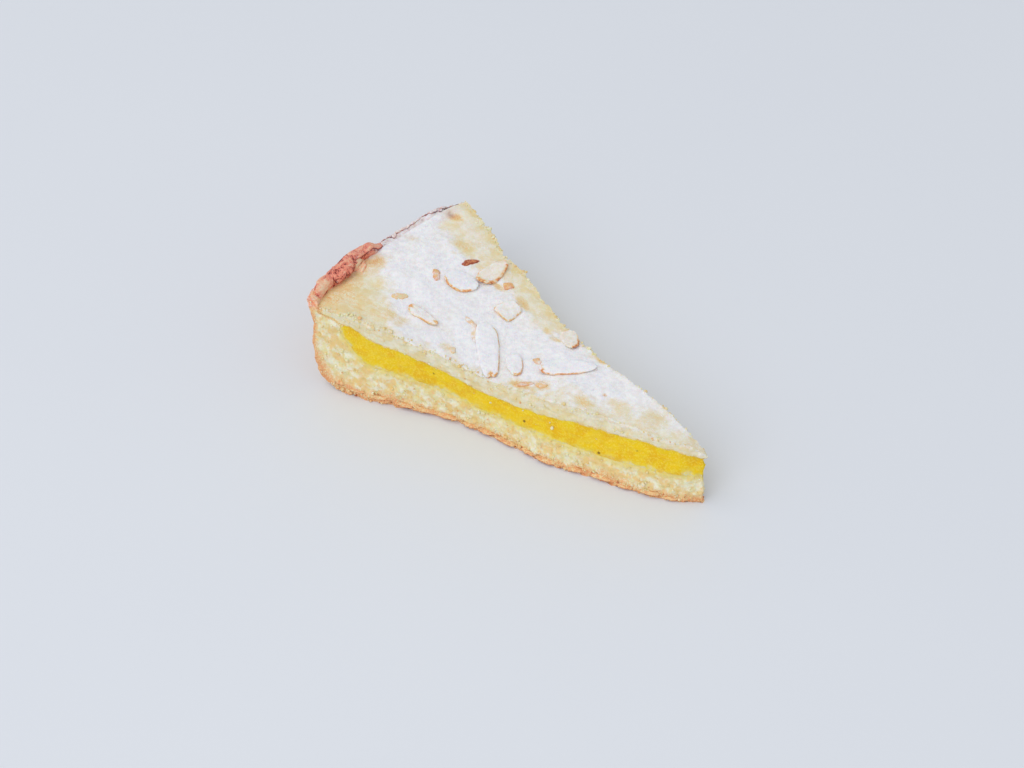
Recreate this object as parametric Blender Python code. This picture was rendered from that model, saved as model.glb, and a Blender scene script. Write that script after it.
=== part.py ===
# Torta della nonna, one cut slice: shortcrust base with its turned-up wall and pleated rim,
# a band of custard, a shortcrust lid and flaked almonds on it.
# Metres. +X runs from the rim to the tip, the base rests on Z = 0, and the origin lies on the
# underside, below the middle of the slice's box.

import math

import bmesh
import bpy
import numpy as np
from mathutils import Vector, noise
from mathutils.bvhtree import BVHTree

MM = 0.001

# Driving dimensions of the cake and of the cut
HALF_ANGLE = math.radians(15.0)
TIP_X = 63.9 * MM
TIP_Y = -1.13 * MM
TIP_REACH = 0.8 * MM
CUSTARD_REACH = 118.3 * MM
LID_REACH = 125.3 * MM
GAP = 0.3 * MM

# Layer heights over the plain of the base, as (distance from the cake's middle, height) in mm
BASE_TOP = (
    (0, 10.4), (10, 10.1), (30, 9.1), (50, 9.5), (72, 9.4), (86, 11.6), (97, 13.1),
    (106, 13.6), (110.5, 14.9), (113.5, 17.2), (116, 20.4), (118.4, 23.4),
)
CUSTARD_TOP = (
    (0, 17.2), (9, 18.7), (25, 18.6), (50, 17.4), (66, 16.0), (73, 16.3), (80, 18.0),
    (88, 19.7), (95, 21.9), (105, 23.1), (110, 24.8), (115, 26.8), (118.6, 27.2),
    (121.5, 28.5), (125.6, 28.9),
)
LID_TOP = (
    (0, 18.5), (1.6, 19.9), (4, 21.2), (8, 22.1), (22, 23.3), (45, 23.8), (56, 22.9),
    (67, 22.1), (80, 24.1), (90, 26.2), (100, 28.6), (110, 30.3), (118, 31.1), (126, 31.2),
)

# The wall, where the base turns up: length along the section, outer distance and height,
# inner distance and height, all in mm
WALL = (
    (106.0, 106.0, 0.0, 106.0, 13.6),
    (112.0, 114.0, 0.0, 112.0, 16.0),
    (115.2, 120.0, 0.4, 115.2, 19.2),
    (118.3, 124.8, 2.2, 118.6, 23.3),
    (121.0, 127.2, 6.8, 118.8, 26.7),
    (124.0, 128.1, 13.5, 121.6, 28.1),
    (127.0, 128.3, 20.5, 125.7, 28.6),
    (130.0, 128.9, 26.5, 125.8, 31.0),
    (133.0, 130.2, 31.2, 126.4, 33.3),
    (136.0, 130.4, 33.6, 128.4, 34.5),
)
RIM_START = 29.0 * MM
RIM_TOP = 34.5 * MM
TUCK_START = 16.0 * MM
FOOT_START = 3.0 * MM
FOOT_FULL = 12.0 * MM
WALL_FACE_START = 119.0 * MM
WALL_FACE_FULL = 127.0 * MM
TOP_FADE = 0.6 * MM

# The pressed rim from the near cut (-1) to the far cut (1): place across, height of its crest,
# tuck of its outer side, overhang of its inner side, and how far the lid runs on below it, in mm
RIM_LINE = (
    (-1.0, 34.2, 0.6, 0.0, 0.2), (-0.9, 34.6, 0.2, 0.0, 1.2), (-0.77, 35.0, 0.0, 0.3, 1.8),
    (-0.69, 35.0, 0.0, 0.8, 2.0), (-0.63, 35.1, 0.0, 0.5, 0.6), (-0.5, 35.2, 0.2, 0.9, 0.1),
    (-0.35, 35.0, 0.3, 0.6, 1.0), (-0.27, 34.6, 0.6, 0.2, 1.7), (-0.13, 35.0, 1.0, 0.4, 0.8),
    (-0.05, 32.7, 1.4, 0.2, 0.2), (0.02, 31.5, 1.6, 0.0, 0.0), (0.18, 31.0, 1.7, 0.0, 0.0),
    (0.35, 31.0, 1.7, 0.0, 0.0), (0.6, 31.2, 1.9, 0.0, 0.0), (0.76, 31.0, 2.0, 0.3, 0.0),
    (0.84, 29.3, 2.8, 0.0, 0.0), (1.0, 29.3, 3.5, 0.0, 0.0),
)
STRETCH_LEFT = 0.5

# How far each cut bows out of a straight line, as (distance from the cake's middle, bow) in mm
NEAR_BOW = (
    (0, 0.3), (3.5, 2.1), (6, 3.5), (11, 4.5), (22, 5.1), (34, 4.5), (48, 4.7), (60, 2.3),
    (70, 0.5), (88, -0.8), (100, 0.6), (118, 1.6), (130, 0.6),
)
FAR_BOW = (
    (0, -0.2), (10, -0.2), (18, 0.1), (28, -0.9), (38, -1.7), (47, -2.6), (57, -1.6),
    (67, -0.9), (76, -0.7), (85, 0.0), (93.0, 0.5), (95.6, -0.5), (109, 1.8), (130, 3.4),
)
TOP_BOW_SHARE = 0.6

# How far the tip stands out, as (height, distance) in mm: a foot below and a nose above
TIP_LINE = ((0, 1.5), (6, 1.0), (10, 0.5), (14, 0.9), (16.8, 0.6), (18.6, 2.4), (24, 1.4))
LEAN_REACH = 9.0 * MM
LAYER_HEIGHT = 22.0 * MM
FAR_SINK = 0.045

# Seeded relief, each as the size of its bumps and its seed
SLOW_WAVER = (17.0 * MM, 3)
QUICK_WAVER = (6.0 * MM, 4)
CUT_LUMPS = (3.5 * MM, 11)
CUT_CRUMBS = (1.8 * MM, 12)
TIP_LUMPS = (4.0 * MM, 13)
FOOT_LUMPS = (5.0 * MM, 21)
WALL_LUMPS = (8.0 * MM, 22)
LID_ROLLS = (9.0 * MM, 31)
LID_LUMPS = (4.0 * MM, 32)

# Depths of that relief, and where it acts
SLOW_WAVER_SHARE = 0.035
QUICK_WAVER_SHARE = 0.02
WAVER_TURN = 0.25
BASE_RELIEF = 0.5 * MM
CUSTARD_RELIEF = 0.2 * MM
LID_RELIEF = 0.4 * MM
LID_TOP_RELIEF = 0.35 * MM
FOOT_RELIEF = 0.9 * MM
WALL_RELIEF = 0.6 * MM
TIP_RELIEF_SHARE = 1.4
TIP_RELIEF_REACH = 6.0 * MM
CUT_START = 0.9
CRUMB_SHARE = 0.6
LUMP_SHARE = 0.5

# Steps of the cut block: columns from the tip to the rim, and places across from cut to cut
COLUMNS = 36
WALL_COLUMNS = 13
LID_END_COLUMNS = 4
BASE_ROWS = 4
LAYER_ROWS = 2
ACROSS = (
    -1, -0.9, -0.77, -0.69, -0.63, -0.5, -0.35, -0.27, -0.13, -0.05, 0.02, 0.12, 0.24, 0.35, 0.6,
    0.76, 0.84, 1,
)

# Flaked almonds large enough to be pieces of their own: middle along and across, length,
# width and curl in mm, the turn of the long side in degrees, and the corner power of the outline
ALMONDS = {
    "almond_oval": (-98.1, 6.7, 10.2, 8.4, 0.5, 20, 2.2),
    "almond_browned": (-94.0, 16.5, 12.0, 5.8, 1.3, 84, 2.2),
    "almond_curved": (-96.9, -13.2, 10.4, 3.8, 0.8, 6, 2.4),
    "almond_long": (-74.2, -9.7, 22.0, 6.6, 0.4, -47, 3.2),
    "almond_corner": (-65.2, -8.2, 9.6, 5.0, 0.3, -46, 2.6),
    "almond_square": (-81.0, 8.3, 7.6, 6.6, 0.3, 78, 4.0),
    "almond_edge": (-59.6, 11.6, 9.8, 5.4, 0.9, -38, 2.2),
    "almond_ridge": (-51.6, 0.3, 17.8, 7.4, 0.7, 35, 2.2),
}
ALMOND_THICKNESS = 1.3 * MM
ALMOND_LIFT = 0.4 * MM
ALMOND_SIDES = 16
INNER_RING = 0.55
FLAKE_TAPER = 0.22
FLAKE_BEVEL = 0.3 * MM
CHIP_SIDES = 9
CHIP_POWER = 2.3
ABOVE_LID = 60.0 * MM
ABOVE_EDGE = 30.0 * MM

# Plain colours, linear, and roughness of each material
BASE_LOOK = ((0.86, 0.66, 0.36), 0.8)
CUSTARD_LOOK = ((0.89, 0.62, 0.03), 0.4)
LID_LOOK = ((0.93, 0.86, 0.66), 0.85)
ALMOND_LOOK = ((0.93, 0.84, 0.68), 0.6)

# Small chips baked into the lid: middle along and across, length, width, height in mm, turn
CHIPS = (
    (-105.0, 2.6, 4.8, 2.4, 1.3, -46),
    (-101.6, 14.8, 5.6, 2.2, 1.2, 62),
    (-107.0, -12.2, 5.0, 2.8, 1.1, 52),
    (-87.8, 16.4, 3.6, 2.8, 1.1, 68),
    (-86.2, -3.9, 4.6, 1.8, 1.3, -11),
    (-57.6, -13.4, 6.0, 2.4, 1.2, 45),
    (-53.0, -10.4, 3.6, 3.0, 1.1, 10),
    (-82.0, -17.0, 3.0, 2.0, 1.0, -50),
    (-61.1, -2.4, 3.4, 2.3, 1.2, -29),
)


def smooth_curve(stations):
    """Return a function in metres that runs smoothly through stations given in millimetres."""
    places = np.array([station[0] for station in stations]) * MM
    values = np.array([station[1] for station in stations]) * MM
    slopes = np.gradient(values, places)

    def at(place):
        index = int(np.clip(np.searchsorted(places, place) - 1, 0, len(places) - 2))
        width = places[index + 1] - places[index]
        part = min(max((place - places[index]) / width, 0.0), 1.0)
        rise = values[index + 1] - values[index]
        ease = part * part * (3 - 2 * part)
        leave = part * (1 - part) * (1 - part) * slopes[index] * width
        arrive = part * part * (part - 1) * slopes[index + 1] * width
        return float(values[index] + ease * rise + leave + arrive)

    return at


base_top = smooth_curve(BASE_TOP)
custard_top = smooth_curve(CUSTARD_TOP)
lid_top = smooth_curve(LID_TOP)
near_bow = smooth_curve(NEAR_BOW)
far_bow = smooth_curve(FAR_BOW)
tip_line = smooth_curve(TIP_LINE)
wall_outer_reach = smooth_curve([(row[0], row[1]) for row in WALL])
wall_outer_height = smooth_curve([(row[0], row[2]) for row in WALL])
wall_inner_reach = smooth_curve([(row[0], row[3]) for row in WALL])
wall_inner_height = smooth_curve([(row[0], row[4]) for row in WALL])


def smooth_step(low, high, value):
    part = min(max((value - low) / (high - low), 0.0), 1.0)
    return part * part * (3 - 2 * part)


SEED_STEP = Vector((7.3, 3.1, 5.7))


def sway(point, size, seed):
    """Seeded soft noise between about -1 and 1, with bumps of the given size in metres."""
    return noise.noise(Vector(point) / size + SEED_STEP * seed)


def bow_and_sink(reach, across, height):
    """Turn a spot of the round cake into the slice's frame, with its uneven cuts and top."""
    angle = across * HALF_ANGLE
    far_share = (1 + across) / 2
    height *= 1 - FAR_SINK * far_share
    level = min(height / LAYER_HEIGHT, 1.0)
    near = near_bow(reach) * (1 - (1 - TOP_BOW_SHARE) * level) * (1 - far_share)
    far = far_bow(reach) * far_share
    lean = tip_line(height) * max(1 - reach / LEAN_REACH, 0.0) ** 2
    x = TIP_X - reach * math.cos(angle) + (near + far) * math.sin(HALF_ANGLE) + lean
    y = TIP_Y + reach * math.sin(angle) + (far - near) * math.cos(HALF_ANGLE)
    return Vector((x, y, height))


def layer_sway(reach, across):
    """One slow waver for every layer, so that they rise and fall together and keep their gaps."""
    spot = (reach, across * reach * WAVER_TURN, 0.0)
    slow = SLOW_WAVER_SHARE * sway(spot, *SLOW_WAVER)
    return 1 + slow + QUICK_WAVER_SHARE * sway(spot, *QUICK_WAVER)


def even_runs(start, end, count):
    """Places from start to end, the last one included, in even steps."""
    return [start + (end - start) * step / count for step in range(count + 1)]


def spun_layer(section, runs, rows):
    """Spin a gridded section round the cake's middle, from the near cut to the far one."""
    mesh = bmesh.new()
    bmesh.ops.create_grid(mesh, x_segments=len(runs) - 1, y_segments=rows, size=0.5)
    share_layer = mesh.verts.layers.float.new("share")
    for vertex in mesh.verts:
        run = runs[round((vertex.co.x + 0.5) * (len(runs) - 1))]
        vertex[share_layer] = vertex.co.y + 0.5
        reach, height = section(run, vertex[share_layer])
        vertex.co = (-reach * math.cos(HALF_ANGLE), -reach * math.sin(HALF_ANGLE), height)
    steps = len(ACROSS) - 1
    bmesh.ops.spin(
        mesh, geom=mesh.verts[:] + mesh.edges[:] + mesh.faces[:], cent=(0, 0, 0), dvec=(0, 0, 0),
        axis=(0, 0, 1), angle=-2 * HALF_ANGLE, steps=steps, use_merge=False,
    )
    spots = {}
    for vertex in mesh.verts:
        reach = math.hypot(vertex.co.x, vertex.co.y)
        turned = math.atan2(vertex.co.y, -vertex.co.x) / HALF_ANGLE
        across = float(np.interp((turned + 1) / 2 * steps, range(steps + 1), ACROSS))
        spots[vertex] = (reach, across, vertex.co.z, vertex[share_layer])
    return mesh, spots


def roughen(point, reach, across, depth):
    """Push a spot in or out by crumb-sized relief, more on the two cuts than inside."""
    edge = smooth_step(CUT_START, 1.0, abs(across))
    push = sway(point, *CUT_LUMPS) + CRUMB_SHARE * sway(point, *CUT_CRUMBS)
    point.y += math.copysign(depth * push * edge, across)
    tip = 1 - smooth_step(0.0, TIP_RELIEF_REACH, reach)
    point.x += depth * TIP_RELIEF_SHARE * tip * sway(point, *TIP_LUMPS)
    return point


def base_section(run, part):
    """Section of the base and wall: a flat slab that turns up into the wall and rim."""
    if run < WALL[0][0] * MM:
        return run, (base_top(run) - GAP / 2) * part
    outer = Vector((wall_outer_reach(run), wall_outer_height(run)))
    if run < CUSTARD_REACH:
        inner = Vector((run, base_top(run) - steep_gap(base_top, run) / 2))
    else:
        inner = Vector((wall_inner_reach(run), wall_inner_height(run)))
    return tuple(outer.lerp(inner, part))


def steep_gap(height_at, reach):
    """The gap measured upright that keeps its full width where a layer climbs steeply."""
    slope = (height_at(reach + 0.5 * MM) - height_at(reach - 0.5 * MM)) / MM
    return GAP * math.sqrt(1 + slope * slope)


def custard_section(run, part):
    low = base_top(run) + steep_gap(base_top, run) / 2
    high = custard_top(run) - steep_gap(custard_top, run) / 2
    return run, low + (high - low) * part


def lid_section(run, part):
    low = custard_top(run) + steep_gap(custard_top, run) / 2
    return run, low + (lid_top(run) - low) * part


def rim_at(across):
    """Crest height, outer tuck, inner overhang and run of the lid below the rim."""
    places = [station[0] for station in RIM_LINE]
    columns = list(zip(*RIM_LINE))[1:]
    return [float(np.interp(across, places, column)) * MM for column in columns]


def lid_stretch(reach, across):
    return rim_at(across)[-1] * smooth_step(CUSTARD_REACH, LID_REACH, reach)


def shape_base(spots):
    for vertex, (reach, across, height, inside) in spots.items():
        crest, tuck, overhang, _ = rim_at(across)
        rise = smooth_step(RIM_START, RIM_TOP, height)
        reach += lid_stretch(reach, across) * inside * (1 - STRETCH_LEFT * rise)
        reach -= tuck * (1 - inside) * smooth_step(TUCK_START, RIM_START, height)
        reach -= overhang * inside * rise
        if height > RIM_START:
            height = RIM_START + (height - RIM_START) * (crest - RIM_START) / (RIM_TOP - RIM_START)
        wave = layer_sway(reach, across)
        point = bow_and_sink(reach, across, height * wave)
        if height <= 0:
            point.z = 0.0
            behind_tip = smooth_step(FOOT_START, FOOT_FULL, reach)
            point.y += FOOT_RELIEF * sway(point, *FOOT_LUMPS) * abs(across) * behind_tip
        else:
            point = roughen(point, reach, across, BASE_RELIEF)
        wall = smooth_step(WALL_FACE_START, WALL_FACE_FULL, reach) * (1 - inside)
        point.x += WALL_RELIEF * wall * sway(point, *WALL_LUMPS)
        vertex.co = point


def shape_layer(spots, depth, relief):
    for vertex, (reach, across, height, _) in spots.items():
        top = smooth_step(-TOP_FADE, 0.0, height - lid_top(reach))
        reach += lid_stretch(reach, across)
        wave = layer_sway(reach, across)
        point = bow_and_sink(reach, across, height * wave)
        rolling = sway(point, *LID_ROLLS) + LUMP_SHARE * sway(point, *LID_LUMPS)
        point.z += relief * top * rolling
        vertex.co = roughen(point, reach, across, depth)


def merge_flat_underside(mesh):
    """Join the flat faces on Z = 0 into one, so that the slice rests on one real face."""
    flat = [face for face in mesh.faces if all(abs(vertex.co.z) < 1e-9 for vertex in face.verts)]
    bmesh.ops.dissolve_faces(mesh, faces=flat, use_verts=False)


def food_material(name, colour, roughness):
    material = bpy.data.materials.new(name)
    material.use_nodes = True
    shader = material.node_tree.nodes["Principled BSDF"]
    shader.inputs["Base Color"].default_value = (*colour, 1)
    shader.inputs["Roughness"].default_value = roughness
    shader.inputs["Metallic"].default_value = 0.0
    material.diffuse_color = (*colour, 1)
    return material


def finished_piece(name, mesh, material):
    bmesh.ops.recalc_face_normals(mesh, faces=mesh.faces)
    data = bpy.data.meshes.new(name)
    mesh.to_mesh(data)
    mesh.free()
    data.materials.append(material)
    piece = bpy.data.objects.new(name, data)
    bpy.context.scene.collection.objects.link(piece)
    return piece


def flake_mesh(length, width, thickness, curl, power, sides, inner_ring):
    """A flat flake: a rounded outline, thickened, with soft edges and a slight curl.

    An inner ring of points lets a large flake follow the crust below it."""
    mesh = bmesh.new()
    bmesh.ops.create_circle(mesh, cap_ends=True, radius=1.0, segments=sides)
    for vertex in mesh.verts:
        turn = math.atan2(vertex.co.y, vertex.co.x)
        stretch = (abs(math.cos(turn)) ** power + abs(math.sin(turn)) ** power) ** (-1 / power)
        taper = 1 - FLAKE_TAPER * math.cos(turn)
        vertex.co.x = stretch * math.cos(turn) * length / 2
        vertex.co.y = stretch * math.sin(turn) * width / 2 * taper
    grown = bmesh.ops.extrude_face_region(mesh, geom=mesh.faces[:])
    raised = [item for item in grown["geom"] if isinstance(item, bmesh.types.BMVert)]
    bmesh.ops.translate(mesh, verts=raised, vec=(0, 0, thickness))
    bmesh.ops.recalc_face_normals(mesh, faces=mesh.faces)
    rims = [edge for edge in mesh.edges if abs(edge.verts[0].co.z - edge.verts[1].co.z) < 1e-9]
    bmesh.ops.bevel(
        mesh, geom=rims, offset=FLAKE_BEVEL, offset_type="OFFSET", affect="EDGES", segments=1,
        profile=0.5, material=-1,
    )
    for cap_height in (0.0, thickness):
        caps = [face for face in mesh.faces if len(face.verts) > 4
                and abs(face.calc_center_median().z - cap_height) < 1e-6]
        if inner_ring:
            bmesh.ops.inset_region(mesh, faces=caps, thickness=0.0)
            ring = {vertex for face in caps for vertex in face.verts}
            bmesh.ops.scale(mesh, verts=list(ring), vec=(INNER_RING, INNER_RING, 1.0))
        bmesh.ops.poke(mesh, faces=caps)
    for vertex in mesh.verts:
        vertex.co.z += curl * (2 * vertex.co.x / length) ** 2
    return mesh


def crust_height(ground, x, y):
    """Height of the crust at a spot, or at its nearest edge where a flake reaches past a cut."""
    hit = ground.ray_cast(Vector((x, y, ABOVE_LID)), Vector((0, 0, -1)))[0]
    if hit is None:
        hit = ground.find_nearest(Vector((x, y, ABOVE_EDGE)))[0]
    return hit.z


def lay_on(mesh, ground, x, y, turn, lift):
    """Turn a flake, and drop every point of it onto the crust below, keeping its own height."""
    heading = math.radians(turn)
    for vertex in mesh.verts:
        local_x, local_y, local_z = vertex.co
        spot_x = x + local_x * math.cos(heading) - local_y * math.sin(heading)
        spot_y = y + local_x * math.sin(heading) + local_y * math.cos(heading)
        height = crust_height(ground, spot_x, spot_y)
        vertex.co = (spot_x, spot_y, height + lift + local_z)


def make_base():
    runs = even_runs(TIP_REACH, CUSTARD_REACH, COLUMNS)
    runs += even_runs(CUSTARD_REACH, WALL[-1][0] * MM, WALL_COLUMNS)[1:]
    mesh, spots = spun_layer(base_section, runs, BASE_ROWS)
    shape_base(spots)
    merge_flat_underside(mesh)
    return finished_piece("base_pastry", mesh, food_material("base_pastry", *BASE_LOOK))


def make_custard():
    runs = even_runs(TIP_REACH, CUSTARD_REACH, COLUMNS)
    mesh, spots = spun_layer(custard_section, runs, LAYER_ROWS)
    shape_layer(spots, CUSTARD_RELIEF, 0.0)
    return finished_piece("custard", mesh, food_material("custard", *CUSTARD_LOOK))


def make_lid():
    runs = even_runs(TIP_REACH, CUSTARD_REACH, COLUMNS)
    runs += even_runs(CUSTARD_REACH, LID_REACH, LID_END_COLUMNS)[1:]
    mesh, spots = spun_layer(lid_section, runs, LAYER_ROWS)
    shape_layer(spots, LID_RELIEF, LID_TOP_RELIEF)
    return finished_piece("lid_pastry", mesh, food_material("lid_pastry", *LID_LOOK))


def surface_of(piece):
    mesh = bmesh.new()
    mesh.from_mesh(piece.data)
    tree = BVHTree.FromBMesh(mesh)
    mesh.free()
    return tree


def make_almonds(ground):
    material = food_material("almond", *ALMOND_LOOK)
    for name, (x, y, length, width, curl, turn, power) in ALMONDS.items():
        mesh = flake_mesh(
            length * MM, width * MM, ALMOND_THICKNESS, curl * MM, power, ALMOND_SIDES, True)
        lay_on(mesh, ground, TIP_X + x * MM, TIP_Y + y * MM, turn, ALMOND_LIFT)
        finished_piece(name, mesh, material)


def fuse_chips(lid, ground):
    """Bake the small chips into the lid with one union, then clear the chips away."""
    chips = bpy.data.collections.new("chips")
    bpy.context.scene.collection.children.link(chips)
    for index, (x, y, length, width, height, turn) in enumerate(CHIPS):
        mesh = flake_mesh(
            length * MM, width * MM, height * MM * 2, 0.0, CHIP_POWER, CHIP_SIDES, False)
        lay_on(mesh, ground, TIP_X + x * MM, TIP_Y + y * MM, turn, -height * MM)
        bmesh.ops.recalc_face_normals(mesh, faces=mesh.faces)
        data = bpy.data.meshes.new("chip_%d" % index)
        mesh.to_mesh(data)
        mesh.free()
        chips.objects.link(bpy.data.objects.new("chip_%d" % index, data))
    union = lid.modifiers.new("chips", "BOOLEAN")
    union.operation = "UNION"
    union.operand_type = "COLLECTION"
    union.collection = chips
    union.solver = "EXACT"
    graph = bpy.context.evaluated_depsgraph_get()
    joined = bpy.data.meshes.new_from_object(lid.evaluated_get(graph))
    lid.modifiers.clear()
    lid.data = joined
    for chip in list(chips.objects):
        bpy.data.objects.remove(chip)
    bpy.data.collections.remove(chips)


def main():
    for old in list(bpy.data.objects):
        bpy.data.objects.remove(old)
    make_base()
    make_custard()
    lid = make_lid()
    ground = surface_of(lid)
    make_almonds(ground)
    fuse_chips(lid, ground)


main()
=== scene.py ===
# Torta della nonna, one cut slice, dressed: crumbly base and rim, custard, lid, flaked almonds,
# powdered sugar and crumbs.
# Metres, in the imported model's own frame: +X runs from the rim to the tip, and the slice
# rests on Z = 0.

import math
from types import SimpleNamespace

import bmesh
import bpy
import numpy as np
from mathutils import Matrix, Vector, noise
from mathutils.bvhtree import BVHTree


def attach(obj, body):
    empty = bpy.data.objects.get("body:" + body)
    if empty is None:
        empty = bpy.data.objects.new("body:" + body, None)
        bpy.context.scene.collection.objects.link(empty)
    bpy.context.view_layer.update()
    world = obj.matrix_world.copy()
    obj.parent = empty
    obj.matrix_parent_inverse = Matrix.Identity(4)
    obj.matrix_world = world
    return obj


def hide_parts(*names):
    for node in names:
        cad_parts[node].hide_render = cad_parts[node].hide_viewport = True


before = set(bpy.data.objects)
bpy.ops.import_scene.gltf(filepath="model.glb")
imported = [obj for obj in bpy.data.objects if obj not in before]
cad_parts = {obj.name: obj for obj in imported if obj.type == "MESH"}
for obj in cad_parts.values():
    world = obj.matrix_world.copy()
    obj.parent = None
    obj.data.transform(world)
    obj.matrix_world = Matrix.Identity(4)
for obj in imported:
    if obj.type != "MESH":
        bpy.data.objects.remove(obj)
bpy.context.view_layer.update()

MM = 0.001

# Driving dimensions of the cake and of the cut, as the solids have them
HALF_ANGLE = math.radians(15.0)
TIP_X = 63.9 * MM
TIP_Y = -1.13 * MM
TIP_REACH = 0.8 * MM
CUSTARD_REACH = 118.3 * MM
LID_REACH = 125.3 * MM

# Layer heights over the plain of the base, as (distance from the cake's middle, height) in mm
BASE_TOP = (
    (0, 10.4), (10, 10.1), (30, 9.1), (50, 9.5), (72, 9.4), (86, 11.6), (97, 13.1),
    (106, 13.6), (110.5, 14.9), (113.5, 17.2), (116, 20.4), (118.4, 23.4),
)
CUSTARD_TOP = (
    (0, 17.2), (9, 18.7), (25, 18.6), (50, 17.4), (66, 16.0), (73, 16.3), (80, 18.0),
    (88, 19.7), (95, 21.9), (105, 23.1), (110, 24.8), (115, 26.8), (118.6, 27.2),
    (121.5, 28.5), (125.6, 28.9),
)
LID_TOP = (
    (0, 18.5), (1.6, 19.9), (4, 21.2), (8, 22.1), (22, 23.3), (45, 23.8), (56, 22.9),
    (67, 22.1), (80, 24.1), (90, 26.2), (100, 28.6), (110, 30.3), (118, 31.1), (126, 31.2),
)

# The wall, where the base turns up: length along the section, outer distance and height,
# inner distance and height, all in mm
WALL = (
    (106.0, 106.0, 0.0, 106.0, 13.6),
    (112.0, 114.0, 0.0, 112.0, 16.0),
    (115.2, 120.0, 0.4, 115.2, 19.2),
    (118.3, 124.8, 2.2, 118.6, 23.3),
    (121.0, 127.2, 6.8, 118.8, 26.7),
    (124.0, 128.1, 13.5, 121.6, 28.1),
    (127.0, 128.3, 20.5, 125.7, 28.6),
    (130.0, 128.9, 26.5, 125.8, 31.0),
    (133.0, 130.2, 31.2, 126.4, 33.3),
    (136.0, 130.4, 33.6, 128.4, 34.5),
)
RIM_START = 29.0 * MM
RIM_TOP = 34.5 * MM
TUCK_START = 16.0 * MM

# Distances from the cake's middle over which the foot and the wall's outer face grow uneven
FOOT_START = 3.0 * MM
FOOT_FULL = 12.0 * MM
WALL_FACE_START = 119.0 * MM
WALL_FACE_FULL = 127.0 * MM

# Unevenness of the cuts, and of the lid's top, whose waves fade out this far below it
BASE_ROUGHNESS = 0.5 * MM
CUSTARD_ROUGHNESS = 0.2 * MM
LID_ROUGHNESS = 0.4 * MM
LID_WAVES = 0.35 * MM
TOP_FADE = 0.6 * MM
# Strength of the painted shade in the rim's creases where they run onto the lid
LID_CREASE_SHADE = 0.8

# The pressed rim from the near cut (-1) to the far cut (1): place across, height of its crest,
# tuck of its outer side, overhang of its inner side, and how far the lid runs on below it, in mm
RIM_LINE = (
    (-1.0, 34.2, 0.6, 0.0, 0.2), (-0.9, 34.6, 0.2, 0.0, 1.2), (-0.77, 35.0, 0.0, 0.3, 1.8),
    (-0.69, 35.0, 0.0, 0.8, 2.0), (-0.63, 35.1, 0.0, 0.5, 0.6), (-0.5, 35.2, 0.2, 0.9, 0.1),
    (-0.35, 35.0, 0.3, 0.6, 1.0), (-0.27, 34.6, 0.6, 0.2, 1.7), (-0.13, 35.0, 1.0, 0.4, 0.8),
    (-0.05, 32.7, 1.4, 0.2, 0.2), (0.02, 31.5, 1.6, 0.0, 0.0), (0.18, 31.0, 1.7, 0.0, 0.0),
    (0.35, 31.0, 1.7, 0.0, 0.0), (0.6, 31.2, 1.9, 0.0, 0.0), (0.76, 31.0, 2.0, 0.3, 0.0),
    (0.84, 29.3, 2.8, 0.0, 0.0), (1.0, 29.3, 3.5, 0.0, 0.0),
)

# Share of the lid's run that is left at the top of the rim
STRETCH_LEFT = 0.5

# How far each cut bows out of a straight line, as (distance from the cake's middle, bow) in mm
NEAR_BOW = (
    (0, 0.3), (3.5, 2.1), (6, 3.5), (11, 4.5), (22, 5.1), (34, 4.5), (48, 4.7), (60, 2.3),
    (70, 0.5), (88, -0.8), (100, 0.6), (118, 1.6), (130, 0.6),
)
FAR_BOW = (
    (0, -0.2), (10, -0.2), (18, 0.1), (28, -0.9), (38, -1.7), (47, -2.6), (57, -1.6),
    (67, -0.9), (76, -0.7), (85, 0.0), (93.0, 0.5), (95.6, -0.5), (109, 1.8), (130, 3.4),
)

# Share of the bow that is left at the top of the cuts, the height at which it is reached, and how
# much lower the far cut lies
TOP_BOW_SHARE = 0.6
LAYER_HEIGHT = 22.0 * MM
FAR_SINK = 0.045

# Bands in which one finish gives way to another: heights of the browned rim, and places across
# from the near cut (-1) to the far cut (1)
RIM_BROWNS = (29.0 * MM, 31.0 * MM)
CUT_BAND = (0.985, 1.0)
FAR_HALF = (-0.2, 0.02)
NEAR_CORNER = (-0.95, -0.8)
FAR_CORNER = (0.75, 0.95)
FROST = 0.75
FLOOR_GAP = 0.02 * MM

# How far the tip stands out, as (height, distance) in mm: a foot below and a nose above, and the
# distance from the cake's middle at which that has faded
TIP_LINE = ((0, 1.5), (6, 1.0), (10, 0.5), (14, 0.9), (16.8, 0.6), (18.6, 2.4), (24, 1.4))
LEAN_REACH = 9.0 * MM

# Layers meet here with no gap: the filling sticks to the pastry
OVERLAP = 0.1 * MM
WALL_OVERLAP = 0.35 * MM
LID_OVERLAP = 0.9 * MM

# Steps of the fine blocks: columns from the tip to the rim, rows up, places across
COLUMNS = 206
WALL_COLUMNS = 46
LID_END_COLUMNS = 14
BASE_ROWS = 18
CUSTARD_ROWS = 15
LID_ROWS = 10
BASE_ACROSS = 112
CUSTARD_ACROSS = 40
LID_ACROSS = 118

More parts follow.
